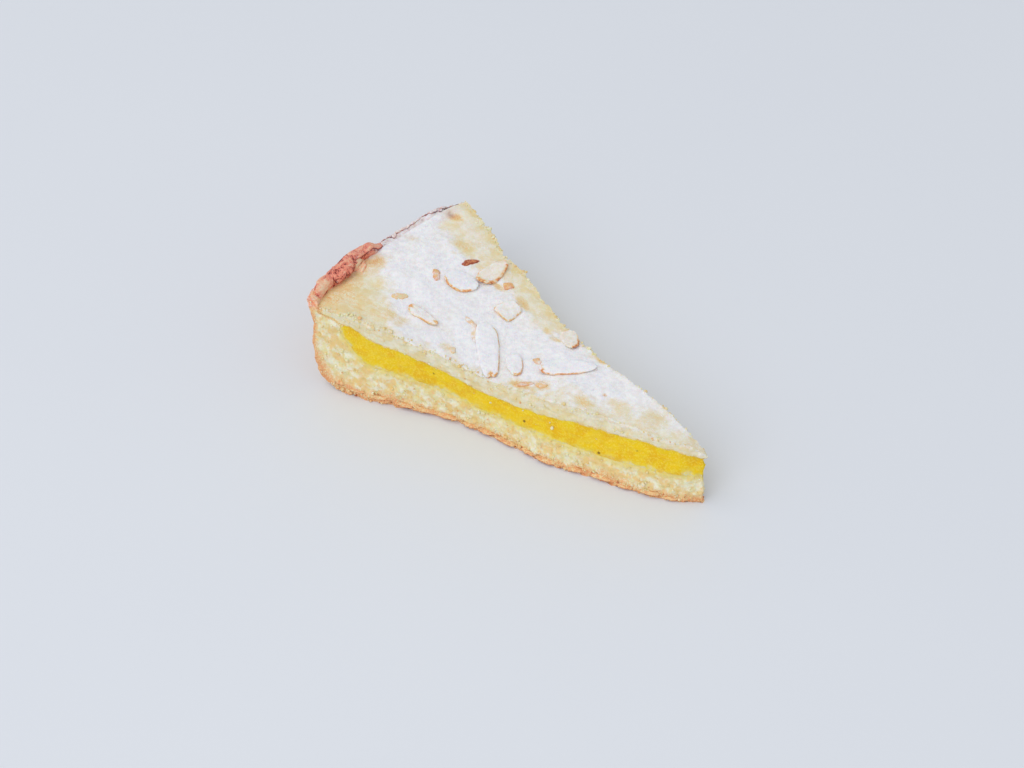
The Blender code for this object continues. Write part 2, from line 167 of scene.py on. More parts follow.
# Flaked almonds: middle along and across, length, width and curl in mm, turn in degrees, corner
# power, and how much sugar and how much toasting each carries
ALMONDS = {
    "almond_oval": (-98.1, 6.7, 10.2, 8.4, 0.5, 20, 2.2, 1.0, 0.55),
    "almond_browned": (-94.0, 16.5, 12.0, 5.8, 1.0, 84, 2.2, 0.5, 0.8),
    "almond_curved": (-96.9, -13.2, 10.4, 3.8, 0.8, 6, 2.4, 0.7, 0.6),
    "almond_long": (-74.2, -9.7, 22.0, 6.6, 0.4, -47, 3.2, 0.95, 0.55),
    "almond_corner": (-65.2, -8.2, 9.6, 5.0, 0.3, -46, 2.6, 0.85, 0.55),
    "almond_square": (-81.0, 8.3, 7.6, 6.6, 0.3, 78, 4.0, 0.68, 0.6),
    "almond_edge": (-59.6, 11.6, 9.8, 5.4, 0.7, -38, 2.2, 0.55, 0.8),
    "almond_ridge": (-51.6, 0.3, 17.8, 7.4, 0.7, 35, 2.2, 1.0, 0.85),
}
ALMOND_THICKNESS = 1.1 * MM
ALMOND_LIFT = -0.1 * MM

# Where each flake's outline is browned, as outward turns in degrees from +X: start, end, strength
BROWN_ARCS = {
    "almond_oval": ((-150, -20, 1.0),),
    "almond_browned": ((-140, 60, 1.0), (60, 220, 0.35)),
    "almond_curved": ((-180, 180, 0.5), (-30, 50, 1.0), (150, 210, 1.0)),
    "almond_long": ((-20, 90, 0.75), (-80, -20, 1.0)),
    "almond_corner": ((-80, 60, 0.9),),
    "almond_square": ((-180, 180, 0.65), (-150, -60, 0.85)),
    "almond_edge": ((-60, 60, 1.0), (130, 180, 0.5)),
    "almond_ridge": ((-157, -80, 1.0), (-80, -37, 0.6)),
}

# Width in mm of a flake's browned band, and how much wider it is in an arc of full strength
RIM_BAND = 0.35
WIDE_END = 0.9
FLAKE_STEPS = (112, 34)
FLAKE_SEED = 90

# Small chips baked into the lid: middle along and across, length, width, height in mm, turn,
# toasting and sugar
CHIPS = (
    (-105.0, 2.6, 4.8, 2.4, 1.1, -46, 0.6, 0.35), (-101.6, 14.8, 5.6, 1.9, 1.0, 62, 1.0, 0.0),
    (-107.0, -12.2, 5.0, 2.8, 0.9, 52, 0.25, 0.2), (-87.8, 16.4, 3.6, 2.8, 0.9, 68, 0.5, 0.1),
    (-86.2, -3.9, 4.6, 1.6, 1.0, -11, 0.45, 0.4), (-57.6, -13.4, 6.0, 2.2, 0.9, 45, 0.5, 0.3),
    (-53.0, -10.4, 3.6, 2.6, 0.8, 10, 0.4, 0.4), (-82.0, -17.0, 3.0, 2.0, 0.8, -50, 0.25, 0.3),
    (-61.1, -2.4, 3.6, 2.2, 0.9, -29, 0.5, 0.4), (-81.8, -7.2, 7.9, 1.9, 0.8, -52, 0.35, 0.55),
    (-106.1, 3.9, 2.6, 1.8, 0.8, 30, 0.5, 0.4),
)
CHIP_POWER = 2.3
CHIP_THICKNESS = 1.6
CHIP_STEPS = (44, 18)
CHIP_SEED = 140
CHIP_SQUEEZE_SEED = 300

# Folds of the browned rim: outline as (place across, distance inward from the crest in mm),
# height in mm, way in which the free edge faces in degrees, toasting, and sugar
RIM_FOLDS = (
    (((-0.337, 2.25), (-0.237, 4.64), (-0.262, 6.6), (-0.287, 8.07), (-0.387, 9.08),
      (-0.4, 5.77)), 1.1, 45, 0.12, 0.05),
    (((-0.65, -1.13), (-0.537, -1.0), (-0.337, -1.83), (-0.4, 3.1), (-0.45, 5.39),
      (-0.662, 4.7), (-0.7, 2.96)), 1.0, 90, 0.82, 0.05),
    (((-0.96, 1.4), (-0.87, 1.0), (-0.8, -0.6), (-0.65, -1.13), (-0.7, 4.11),
      (-0.925, 5.34)), 0.9, -100, 0.5, 0.05),
    (((-0.337, -1.83), (-0.162, -0.32), (0.075, -0.81), (0.0, 2.44), (-0.237, 3.0),
      (-0.387, 2.81)), 1.1, 90, 0.6, 0.1),
)

FOLD_STEPS = (72, 26)
FOLD_SEED = 160

# Crinkles of the thin far half of the rim: place across, distance inward, length, width in mm,
# turn, height in mm, toasting
CRINKLES = (
    (0.1, -0.9, 4.0, 1.5, -10, 0.7, 0.75), (0.15, -0.6, 3.5, 1.4, 50, 0.7, 0.8),
    (0.205, 0.2, 3.6, 1.6, -50, 0.8, 0.7), (0.25, -0.2, 3.2, 1.5, 20, 0.8, 0.75),
    (0.31, -0.1, 3.8, 1.4, 10, 0.7, 0.65), (0.375, 0.1, 3.4, 1.6, -15, 0.8, 0.75),
    (0.44, 0.0, 3.6, 1.3, 5, 0.7, 0.7), (0.51, -0.2, 3.6, 1.3, -15, 0.6, 0.65),
    (0.57, -0.5, 3.4, 1.5, 15, 0.7, 0.8), (0.64, -0.2, 3.6, 1.6, 30, 0.8, 0.75),
    (0.7, 0.1, 3.4, 1.8, 0, 0.9, 0.9), (0.725, 0.5, 2.6, 1.5, 60, 0.7, 1.0),
    (0.79, 0.2, 3.6, 1.5, -10, 0.8, 0.85), (0.86, 0.2, 4.0, 1.5, 8, 0.8, 0.85),
    (0.925, 0.1, 2.8, 1.3, -5, 0.5, 0.85),
)

CRINKLE_FREE_TURN = 90.0
CRINKLE_PALER = 0.2
CRINKLE_DUST = 0.55
CRINKLE_STEPS = (28, 12)
CRINKLE_SEED = 260

# Painted shade in the creases on and below the rim: line, half width in mm, strength
CREASE_SHADE_LINES = (
    (((-0.4, 2.9), (-0.31, 3.0), (-0.237, 3.2), (-0.12, 2.9), (0.0, 2.6), (0.075, 1.0)), 0.5, 1.15),
    (((-0.27, 3.4), (-0.2, 3.6)), 0.7, 1.1),
    (((-0.7, 2.9), (-0.69, 4.2), (-0.68, 5.6)), 0.55, 1.15),
    (((-0.662, 5.0), (-0.55, 5.8), (-0.45, 5.7), (-0.41, 3.3)), 0.5, 0.95),
    (((0.075, -1.04), (0.137, -1.63), (0.2, 0.99), (0.275, -0.16), (0.388, 0.05), (0.475, 0.0),
      (0.562, -0.69)), 0.35, 0.45),
    (((0.562, -0.69), (0.64, -0.2), (0.7, 0.2), (0.76, 0.5), (0.825, 0.15), (0.98, 0.1)), 0.5, 0.75),
)

# Ledges of crust along the foot of the near cut: distance from the cake's middle, height, length,
# thickness and how far they stand out, in mm
LEDGES = (
    (96, 1.7, 9, 1.9, 1.2), (91, 1.3, 8, 1.7, 1.5), (84, 1.3, 9, 1.7, 1.4), (106, 2.0, 6, 1.6, 0.9),
    (113, 2.6, 5, 1.5, 0.8), (119, 3.6, 4, 1.6, 0.7), (76, 1.1, 5, 1.5, 1.2), (70, 1.2, 6, 1.3, 1.3),
    (63, 1.0, 7, 1.5, 1.3), (55, 1.2, 5, 1.4, 1.1), (48, 1.2, 8, 1.4, 1.3), (39, 1.0, 6, 1.3, 1.1),
    (31, 1.2, 8, 1.4, 1.3), (23, 1.0, 6, 1.3, 1.0), (15, 1.3, 7, 1.4, 1.1), (8, 1.0, 5, 1.2, 0.9),
)
LEDGE_STEPS = (32, 14)
LEDGE_SEED = 320

# Dark specks in the custard: distance from the cake's middle, share of its thickness, size in mm
CUSTARD_SPECKS = ((57.0, 0.38, 0.6), (32.0, 0.1, 0.6), (88.0, 0.7, 0.4), (20.0, 0.6, 0.35))

# Bare or browned spots in the sugar: middle along and across, half length, half width in mm,
# and toasting
SPOTS = (
    (-122.1, -5.7, 3.4, 2.8, 0.5), (-122.1, -20.5, 4.0, 3.4, 0.42), (-107.6, 18.9, 3.2, 2.2, 0.25),
    (-122.1, 10.8, 2.6, 1.6, 0.28), (-119.3, 27.3, 2.6, 1.4, 0.75), (-83.5, -17.2, 2.6, 1.8, 0.25),
    (-89.7, 14.0, 2.6, 1.2, 0.45), (-79.9, 14.2, 3.2, 1.6, 0.35), (-68.1, 10.8, 1.8, 1.2, 0.3),
    (-63.8, 9.4, 2.4, 1.2, 0.4), (-45.4, 9.5, 2.2, 1.2, 0.5), (-57.4, -13.5, 4.2, 2.2, 0.5),
    (-52.8, -10.4, 2.8, 2.2, 0.42), (-44.7, -7.3, 3.6, 2.6, 0.18), (-38.2, -9.4, 3.4, 2.0, 0.3),
    (-29.7, -3.0, 3.8, 2.4, 0.18), (-18.4, -0.1, 4.2, 2.2, 0.18), (-35.2, -2.8, 0.7, 0.7, 0.8),
    (-86.2, -3.9, 1.6, 1.0, 0.3), (-101.8, -20.5, 5.0, 3.0, 0.22),
)

# Where the sugar stops, as (distance from the cake's middle, distance from the cut) in mm
NEAR_SUGAR = (
    (0, 1.5), (20, 2.8), (40, 2.8), (55, 1.2), (68, 0.2), (80, -0.5), (93, 0.6), (98, 2.4),
    (103, 4.2), (107, 9.5), (114, 16.8), (119, 21.5), (127, 26.0),
)
FAR_SUGAR = (
    (0, -1.5), (40, -1.0), (46, 0.6), (57, 1.7), (68, 4.1), (72, 6.6), (83, 5.9), (90, 6.8),
    (102, 11.4), (106, 12.6), (112, 11.3), (117, 11.2), (122, 12.0), (127, 9.0),
)

# How deep the browned crust reaches into the base and wall, as (length along the section, depth)
CRUST_DEPTH = (
    (0, 3.6), (18, 4.2), (34, 3.6), (44, 2.8), (60, 2.3), (75, 2.2), (88, 2.6), (98, 4.0),
    (108, 5.0), (116, 5.5), (122, 5.0), (128, 4.2), (136, 3.5),
)


def smooth_curve(stations):
    """Return a function in metres that runs smoothly through stations given in millimetres."""
    places = np.array([station[0] for station in stations]) * MM
    values = np.array([station[1] for station in stations]) * MM
    slopes = np.gradient(values, places)

    def at(place):
        index = np.clip(np.searchsorted(places, place) - 1, 0, len(places) - 2)
        width = places[index + 1] - places[index]
        part = np.clip((place - places[index]) / width, 0.0, 1.0)
        rise = values[index + 1] - values[index]
        ease = part * part * (3 - 2 * part)
        leave = part * (1 - part) * (1 - part) * slopes[index] * width
        arrive = part * part * (part - 1) * slopes[index + 1] * width
        return values[index] + ease * rise + leave + arrive

    return at


base_top = smooth_curve(BASE_TOP)
custard_top = smooth_curve(CUSTARD_TOP)
lid_top = smooth_curve(LID_TOP)
near_bow = smooth_curve(NEAR_BOW)
far_bow = smooth_curve(FAR_BOW)
tip_line = smooth_curve(TIP_LINE)
near_sugar = smooth_curve(NEAR_SUGAR)
far_sugar = smooth_curve(FAR_SUGAR)
crust_depth = smooth_curve(CRUST_DEPTH)
wall_outer_reach = smooth_curve([(row[0], row[1]) for row in WALL])
wall_outer_height = smooth_curve([(row[0], row[2]) for row in WALL])
wall_inner_reach = smooth_curve([(row[0], row[3]) for row in WALL])
wall_inner_height = smooth_curve([(row[0], row[4]) for row in WALL])


def smooth_step(low, high, value):
    part = np.clip((value - low) / (high - low), 0.0, 1.0)
    return part * part * (3 - 2 * part)


def sway(points, size, seed):
    """Seeded soft noise between about -1 and 1 at every point, with bumps of the given size."""
    spots = points / size + np.array((seed * 7.3, seed * 3.1, seed * 5.7))
    return np.array([noise.noise(spot) for spot in spots.tolist()])


def ripples(points, *waves, level=0.0):
    """Sum of soft noises over a level; each wave is its height, its bump size in mm, its seed."""
    total = level
    for height, size, seed in waves:
        total = total + height * sway(points, size * MM, seed)
    return total


def pores(points, size, seed):
    """How deep every point lies in a round pore, from 0 to 1; about half the cells have one."""
    spots = points / size + np.array((seed * 7.3, seed * 3.1, seed * 5.7))
    depths = []
    for spot in spots.tolist():
        distances, centres = noise.voronoi(spot)
        kept = noise.cell(centres[0] * 3.7) > 0.5
        depths.append(max(0.0, 1 - distances[0] / 0.42) if kept else 0.0)
    return np.array(depths)


def bow_and_sink(reach, across, height):
    """Turn spots of the round cake into the slice's frame, with its uneven cuts and top."""
    angle = across * HALF_ANGLE
    far_share = (1 + across) / 2
    height = height * (1 - FAR_SINK * far_share)
    level = np.minimum(height / LAYER_HEIGHT, 1.0)
    near = near_bow(reach) * (1 - (1 - TOP_BOW_SHARE) * level) * (1 - far_share)
    far = far_bow(reach) * far_share
    lean = tip_line(height) * np.maximum(1 - reach / LEAN_REACH, 0.0) ** 2
    x = TIP_X - reach * np.cos(angle) + (near + far) * math.sin(HALF_ANGLE) + lean
    y = TIP_Y + reach * np.sin(angle) + (far - near) * math.cos(HALF_ANGLE)
    return np.stack((x, y, height), axis=1)


def layer_sway(reach, across):
    """One slow waver for every layer, so that they rise and fall together."""
    spots = np.stack((reach, across * reach * 0.25, np.zeros_like(reach)), axis=1)
    return ripples(spots, (0.035, 17, 3), (0.02, 6, 4), level=1)


def roughen(points, reach, across, depth):
    """Push spots in or out by crumb-sized relief, more on the two cuts than inside."""
    edge = smooth_step(0.9, 1.0, np.abs(across))
    push = ripples(points, (1, 3.5, 11), (0.6, 1.8, 12))
    points[:, 1] += np.copysign(1.0, across) * depth * push * edge
    tip = 1 - smooth_step(0.0, 6 * MM, reach)
    points[:, 0] += depth * 1.4 * tip * sway(points, 4.0 * MM, 13)
    return points


def even_runs(start, end, count):
    """Places from start to end, the last one included, in even steps."""
    return [start + (end - start) * step / count for step in range(count + 1)]


def base_section(run, part):
    """Section of the base and wall: a flat slab that turns up into the wall and rim."""
    under_custard = run < CUSTARD_REACH
    closing = WALL_OVERLAP * (1 - smooth_step(127 * MM, 131 * MM, run))
    inner_reach = np.where(under_custard, run, wall_inner_reach(run) - closing / 2)
    inner_height = np.where(under_custard, base_top(run), wall_inner_height(run) + closing)
    slab = run < WALL[0][0] * MM
    outer_reach = np.where(slab, run, wall_outer_reach(run))
    outer_height = np.where(slab, 0.0, wall_outer_height(run))
    reach = outer_reach + (inner_reach - outer_reach) * part
    return reach, outer_height + (inner_height - outer_height) * part


def custard_section(run, part):
    low = base_top(run) - OVERLAP
    return run, low + (custard_top(run) + OVERLAP - low) * part


def lid_section(run, part):
    return run, custard_top(run) + (lid_top(run) - custard_top(run)) * part


def rim_at(across):
    """Crest height, outer tuck, inner overhang and run of the lid below the rim."""
    places = [station[0] for station in RIM_LINE]
    columns = list(zip(*RIM_LINE))[1:]
    return [np.interp(across, places, column) * MM for column in columns]


def lid_stretch(reach, across):
    return rim_at(across)[-1] * smooth_step(CUSTARD_REACH, LID_REACH, reach)


def in_fixed_order(points, faces):
    """Sort points and faces, which bmesh can number differently from run to run."""
    order = np.lexsort(np.round(points[:, :3], 5).T)
    number = np.argsort(order)
    turned = []
    for face in faces:
        corners = [int(number[corner]) for corner in face]
        first = corners.index(min(corners))
        turned.append(tuple(corners[first:] + corners[:first]))
    return points[order], sorted(turned)


def spun_layer(name, section, runs, rows, steps):
    """Spin a gridded section round the cake's middle and split both cuts finer.

    Returns the mesh and where its points lie: run along the section, share of the layer's
    thickness, reach from the cake's middle, place across from cut to cut, and height."""
    block = bmesh.new()
    bmesh.ops.create_grid(block, x_segments=len(runs) - 1, y_segments=rows, size=0.5)
    run_layer = block.verts.layers.float.new("run")
    share_layer = block.verts.layers.float.new("share")
    flat = np.array([vertex.co[:2] for vertex in block.verts]) + 0.5
    run = np.array(runs)[np.rint(flat[:, 0] * (len(runs) - 1)).astype(int)]
    reach, height = section(run, flat[:, 1])
    for index, vertex in enumerate(block.verts):
        vertex[run_layer] = run[index]
        vertex[share_layer] = flat[index, 1]
        side = -reach[index]
        vertex.co = (side * math.cos(HALF_ANGLE), side * math.sin(HALF_ANGLE), height[index])
    bmesh.ops.spin(
        block, geom=block.verts[:] + block.edges[:] + block.faces[:], cent=(0, 0, 0),
        dvec=(0, 0, 0), axis=(0, 0, 1), angle=-2 * HALF_ANGLE, steps=steps, use_merge=False,
    )
    half_step = HALF_ANGLE / steps
    on_cut = {
        vertex for vertex in block.verts
        if abs(math.atan2(vertex.co.y, -vertex.co.x)) > HALF_ANGLE - half_step
    }
    edges = [edge for edge in block.edges if on_cut.issuperset(edge.verts)]
    bmesh.ops.subdivide_edges(block, edges=edges, cuts=1, use_grid_fill=True)
    bmesh.ops.recalc_face_normals(block, faces=block.faces)
    block.verts.index_update()
    points = np.array(
        [(*vertex.co, vertex[run_layer], vertex[share_layer]) for vertex in block.verts])
    faces = [[corner.index for corner in face.verts] for face in block.faces]
    block.free()
    points, faces = in_fixed_order(points, faces)
    data = bpy.data.meshes.new(name)
    data.from_pydata(points[:, :3].tolist(), [], faces)
    reach = np.hypot(points[:, 0], points[:, 1])
    across = np.clip(np.arctan2(points[:, 1], -points[:, 0]) / HALF_ANGLE, -1.0, 1.0)
    return data, SimpleNamespace(
        run=points[:, 3], share=points[:, 4], reach=reach, across=across, height=points[:, 2])


def points_of(data, kind="co"):
    values = np.empty(len(data.vertices) * 3)
    data.vertices.foreach_get(kind, values)
    return values.reshape(-1, 3)


def set_points(data, points):
    data.vertices.foreach_set("co", points.astype(np.float32).ravel())
    data.update()


def keep(data, name, values):
    """Keep a value at every point, for the material to read."""
    layer = data.attributes.new(name, "FLOAT", "POINT")
    layer.data.foreach_set("value", np.broadcast_to(values, len(data.vertices)).astype(np.float32))


def finished_piece(name, data, material, slot, *nodes, sharp=55.0):
    """Make a piece of a mesh: smooth, of one material, riding on the slice."""
    data.shade_smooth()
    data.set_sharp_from_angle(angle=math.radians(sharp))
    data.materials.append(material)
    piece = bpy.data.objects.new(name, data)
    bpy.context.scene.collection.objects.link(piece)
    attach(piece, "root")
    if nodes:
        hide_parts(*nodes)
    return piece


# Colours and shader groups

def tone(red, green, blue):
    """Linear colour, as shaders take it, of a tone named in the usual 0 to 255 steps."""
    parts = np.array((red, green, blue)) / 255
    linear = np.where(parts < 0.04045, parts / 12.92, ((parts + 0.055) / 1.055) ** 2.4)
    return (*linear.tolist(), 1.0)


def set_socket(tree, socket, value):
    if isinstance(value, bpy.types.NodeSocket):
        tree.links.new(value, socket)
    else:
        socket.default_value = value


def add_node(tree, kind, inputs=None, **settings):
    """Add a shader node, set its options, and link or set its named or numbered inputs."""
    node = tree.nodes.new(kind)
    for name, value in settings.items():
        setattr(node, name, value)
    for name, value in (inputs or {}).items():
        set_socket(tree, node.inputs[name], value)
    return node


def reckon(tree, operation, *values, clamp=False):
    node = add_node(tree, "ShaderNodeMath", dict(enumerate(values)), operation=operation)
    node.use_clamp = clamp
    return node.outputs[0]


def blend_tones(tree, share, first, second):
    node = add_node(tree, "ShaderNodeMix", {0: share, 6: first, 7: second}, data_type="RGBA")
    return node.outputs[2]


def remap(tree, value, low, high, to_low=0.0, to_high=1.0):
    node = add_node(
        tree, "ShaderNodeMapRange",
        {"Value": value, "From Min": low, "From Max": high, "To Min": to_low, "To Max": to_high},
        interpolation_type="SMOOTHSTEP",
    )
    return node.outputs["Result"]


def grain(tree, place, size_mm, detail=2.0):
    """Soft noise of the given grain size, read at a place in metres."""
    node = add_node(
        tree, "ShaderNodeTexNoise",
        {"Vector": place, "Scale": 1 / (size_mm * MM), "Detail": detail, "Roughness": 0.6},
    )
    return node.outputs["Fac"]


def new_group(name, inputs, outputs):
    """Start a shader group with named sockets, and return it with its inner ends."""
    group = bpy.data.node_groups.new(name, "ShaderNodeTree")
    for socket_name, kind in inputs:
        group.interface.new_socket(socket_name, in_out="INPUT", socket_type=kind)
    for socket_name, kind in outputs:
        group.interface.new_socket(socket_name, in_out="OUTPUT", socket_type=kind)
    start = group.nodes.new("NodeGroupInput")
    end = group.nodes.new("NodeGroupOutput")
    return group, start.outputs, end.inputs


VALUE = "NodeSocketFloat"
COLOUR = "NodeSocketColor"


def crumb_grain_group():
    """Crumb of a short pastry: fine speckle, slow mottles, and the height of its grain."""
    group, given, put = new_group(
        "crumb_grain", [("Coarseness", VALUE)],
        [("Speckle", VALUE), ("Mottle", VALUE), ("Warmth", VALUE), ("Height", VALUE)])
    place = add_node(group, "ShaderNodeTexCoord").outputs["Object"]
    shrink = reckon(group, "DIVIDE", 1.0, given["Coarseness"])
    scaled = add_node(
        group, "ShaderNodeVectorMath", {0: place, "Scale": shrink}, operation="SCALE").outputs[0]
    fine = grain(group, scaled, 0.4, 3.0)
    middle = grain(group, scaled, 1.1, 2.0)
    set_socket(group, put["Speckle"], remap(group, fine, 0.36, 0.64))
    set_socket(group, put["Mottle"], remap(group, grain(group, scaled, 1.9, 3.0), 0.4, 0.6))
    set_socket(group, put["Warmth"], remap(group, grain(group, scaled, 3.6, 3.0), 0.45, 0.62))
    set_socket(group, put["Height"], reckon(group, "MULTIPLY_ADD", middle, 1.4, fine))
    return group


def toasting_group():
    """Pastry from pale crumb to dark crust, by how far it is toasted."""
    group, given, put = new_group(
        "toasting",
        [("Toast", VALUE), ("Speckle", VALUE), ("Crumb", COLOUR), ("Golden", COLOUR),
         ("Brown", COLOUR), ("Dark", COLOUR)],
        [("Colour", COLOUR)])
    swing = reckon(group, "MULTIPLY", reckon(group, "SUBTRACT", given["Speckle"], 0.5), 0.42)
    level = reckon(group, "ADD", given["Toast"], reckon(group, "MULTIPLY", swing, remap(
        group, given["Toast"], 0.0, 0.35, 0.15, 1.0)))
    colour = blend_tones(group, remap(group, level, 0.05, 0.42), given["Crumb"], given["Golden"])
    colour = blend_tones(group, remap(group, level, 0.4, 0.78), colour, given["Brown"])
    colour = blend_tones(group, remap(group, level, 0.8, 1.15), colour, given["Dark"])
    set_socket(group, put["Colour"], colour)
    return group


def sugar_dusting_group():
    """Powdered sugar: lies where the cover is high, thinner and patchy towards its edges."""
    group, given, put = new_group(
        "sugar_dusting", [("Cover", VALUE)],
        [("Mask", VALUE), ("Colour", COLOUR), ("Height", VALUE)])
    place = add_node(group, "ShaderNodeTexCoord").outputs["Object"]
    powder = grain(group, place, 0.35, 3.0)
    drift = grain(group, place, 1.6, 3.0)
    loose = reckon(group, "ADD", reckon(group, "MULTIPLY", powder, 0.5), reckon(
        group, "MULTIPLY", drift, 0.5))
    level = reckon(group, "ADD", given["Cover"], reckon(
        group, "MULTIPLY", reckon(group, "SUBTRACT", loose, 0.5), 1.3))
    mask = remap(group, level, 0.05, 0.95)
    set_socket(group, put["Mask"], mask)
    shade = blend_tones(
        group, remap(group, drift, 0.3, 0.7), tone(239, 238, 245), tone(251, 250, 251))
    set_socket(group, put["Colour"], shade)
    set_socket(group, put["Height"], reckon(group, "MULTIPLY", powder, mask))
    return group


crumb_grain = crumb_grain_group()
toasting = toasting_group()
sugar_dusting = sugar_dusting_group()


def new_material(name, **constants):
    """A material with its Principled shader; constants are set on the shader's own sockets."""
    material = bpy.data.materials.new(name)
    material.use_nodes = True
    tree = material.node_tree
    shader = tree.nodes["Principled BSDF"]
    for socket_name, value in constants.items():
        shader.inputs[socket_name.replace("_", " ")].default_value = value
    return material, tree, shader


def place_group(tree, group, inputs):
    node = add_node(tree, "ShaderNodeGroup", node_tree=group)
    for name, value in inputs.items():
        set_socket(tree, node.inputs[name], value)
    return node.outputs


def kept(tree, name):
    """The value kept at the mesh's points under this name."""
    return add_node(tree, "ShaderNodeAttribute", attribute_name=name).outputs["Fac"]


def raise_bump(tree, shader, height, depth_mm, strength=1.0):
    bump = add_node(
        tree, "ShaderNodeBump",
        {"Height": height, "Distance": depth_mm * MM, "Strength": strength})
    tree.links.new(bump.outputs["Normal"], shader.inputs["Normal"])


def tones_of(crumb, golden, brown, dark):
    """Named inputs of the toasting group from four tones in 0 to 255 steps."""
    return {"Crumb": tone(*crumb), "Golden": tone(*golden), "Brown": tone(*brown),
            "Dark": tone(*dark)}


def pastry_material(name, tones, white, warm, soaked, rim_tones=None):
    """Short pastry: mottled crumb, toasted crust, custard soaked in, and sugar on top.

    Dark crust under a thin veil of sugar turns ashen where the frost is kept."""
    material, tree, shader = new_material(
        name, Roughness=0.85, Specular_IOR_Level=0.2, Subsurface_Weight=0.12,
        Subsurface_Scale=0.0015)
    crumbs = place_group(tree, crumb_grain, {"Coarseness": 1.0})
    toast = kept(tree, "toast")
    pale = reckon(tree, "MULTIPLY", crumbs["Mottle"], 0.85)
    crumb = blend_tones(tree, pale, tones["Crumb"], tone(*white))
    buttery = reckon(tree, "MULTIPLY", crumbs["Warmth"], 0.8)
    crumb = blend_tones(tree, buttery, crumb, tone(*warm))
    inputs = dict(tones, Toast=toast, Speckle=crumbs["Speckle"], Crumb=crumb)
    colour = place_group(tree, toasting, inputs)["Colour"]
    wet = reckon(tree, "MULTIPLY", kept(tree, "soak"), remap(
        tree, crumbs["Speckle"], 0.0, 1.0, 0.8, 1.0))
    colour = blend_tones(tree, wet, colour, tone(*soaked))
    if rim_tones:
        browned = place_group(
            tree, toasting, dict(rim_tones, Toast=toast, Speckle=crumbs["Speckle"]))
        colour = blend_tones(tree, kept(tree, "rim"), colour, browned["Colour"])
    ashen = blend_tones(tree, remap(tree, toast, 0.35, 1.0), tone(222, 212, 212), tone(132, 112, 118))
    colour = blend_tones(tree, kept(tree, "frost"), colour, ashen)
    sugar = place_group(tree, sugar_dusting, {"Cover": kept(tree, "sugar")})
    colour = blend_tones(tree, sugar["Mask"], colour, sugar["Colour"])
    set_socket(tree, shader.inputs["Base Color"], colour)
    set_socket(tree, shader.inputs["Roughness"], remap(tree, sugar["Mask"], 0.0, 1.0, 0.8, 0.95))
    relief = reckon(tree, "ADD", crumbs["Height"], reckon(tree, "MULTIPLY", sugar["Height"], 0.5))
    raise_bump(tree, shader, relief, 0.14, 0.7)
    return material


def shortcrust_material():
    """Pastry of the base and wall, with the redder browning of the rim."""
    return pastry_material(
        "shortcrust", tones_of((237, 225, 172), (242, 206, 152), (238, 168, 118), (160, 88, 62)),
        white=(246, 243, 222), warm=(240, 204, 132), soaked=(242, 220, 118),
        rim_tones=tones_of((246, 216, 182), (248, 190, 152), (243, 142, 120), (128, 48, 44)))


def lid_pastry_material():
    return pastry_material(
        "lid_pastry", tones_of((234, 224, 188), (236, 204, 148), (226, 162, 110), (160, 76, 58)),
        white=(240, 234, 212), warm=(234, 214, 160), soaked=(232, 210, 132))


def custard_material():
    """Baked custard: deep yellow, crumbly where it meets the pastry, moist at the cut."""
    material, tree, shader = new_material(
        "custard", Specular_IOR_Level=0.25, Subsurface_Weight=0.25, Subsurface_Scale=0.003)
    shader.inputs["Subsurface Radius"].default_value = (1.0, 0.7, 0.15)
    crumbs = place_group(tree, crumb_grain, {"Coarseness": 1.5})
    wavering = reckon(tree, "ADD", kept(tree, "rise"), reckon(
        tree, "MULTIPLY", reckon(tree, "SUBTRACT", crumbs["Mottle"], 0.5), 0.45))
    colour = blend_tones(
        tree, remap(tree, wavering, 0.0, 0.55), tone(238, 224, 166), tone(244, 212, 70))
    colour = blend_tones(tree, remap(tree, wavering, 0.4, 1.0), colour, tone(246, 206, 8))
    deeper = reckon(tree, "MULTIPLY", crumbs["Warmth"], 0.8)
    colour = blend_tones(tree, deeper, colour, tone(240, 186, 8))
    pale = reckon(tree, "MULTIPLY", remap(tree, crumbs["Speckle"], 0.5, 1.0), 0.7)
    colour = blend_tones(tree, pale, colour, tone(252, 222, 80))
    colour = blend_tones(tree, kept(tree, "speck"), colour, tone(120, 84, 30))
    set_socket(tree, shader.inputs["Base Color"], colour)
    set_socket(tree, shader.inputs["Roughness"], remap(tree, crumbs["Speckle"], 0.0, 1.0, 0.38, 0.62))
    raise_bump(tree, shader, crumbs["Height"], 0.1, 0.5)
    return material


def almond_material():
    """Flaked almond: ivory inside, toasted along its rim, sugared on top."""
    material, tree, shader = new_material(
        "flaked_almond", Specular_IOR_Level=0.3, Subsurface_Weight=0.15, Subsurface_Scale=0.001)
    crumbs = place_group(tree, crumb_grain, {"Coarseness": 0.8})
    tones = tones_of((234, 220, 186), (240, 196, 134), (222, 148, 100), (158, 72, 52))
    baked = place_group(
        tree, toasting, dict(tones, Toast=kept(tree, "toast"), Speckle=crumbs["Speckle"]))
    sugar = place_group(tree, sugar_dusting, {"Cover": kept(tree, "sugar")})
    colour = blend_tones(tree, sugar["Mask"], baked["Colour"], sugar["Colour"])
    set_socket(tree, shader.inputs["Base Color"], colour)
    set_socket(tree, shader.inputs["Roughness"], remap(tree, sugar["Mask"], 0.0, 1.0, 0.6, 0.95))
    relief = reckon(tree, "ADD", reckon(tree, "MULTIPLY", crumbs["Height"], 0.4), reckon(
        tree, "MULTIPLY", sugar["Height"], 0.5))
    raise_bump(tree, shader, relief, 0.12, 0.7)
    return material


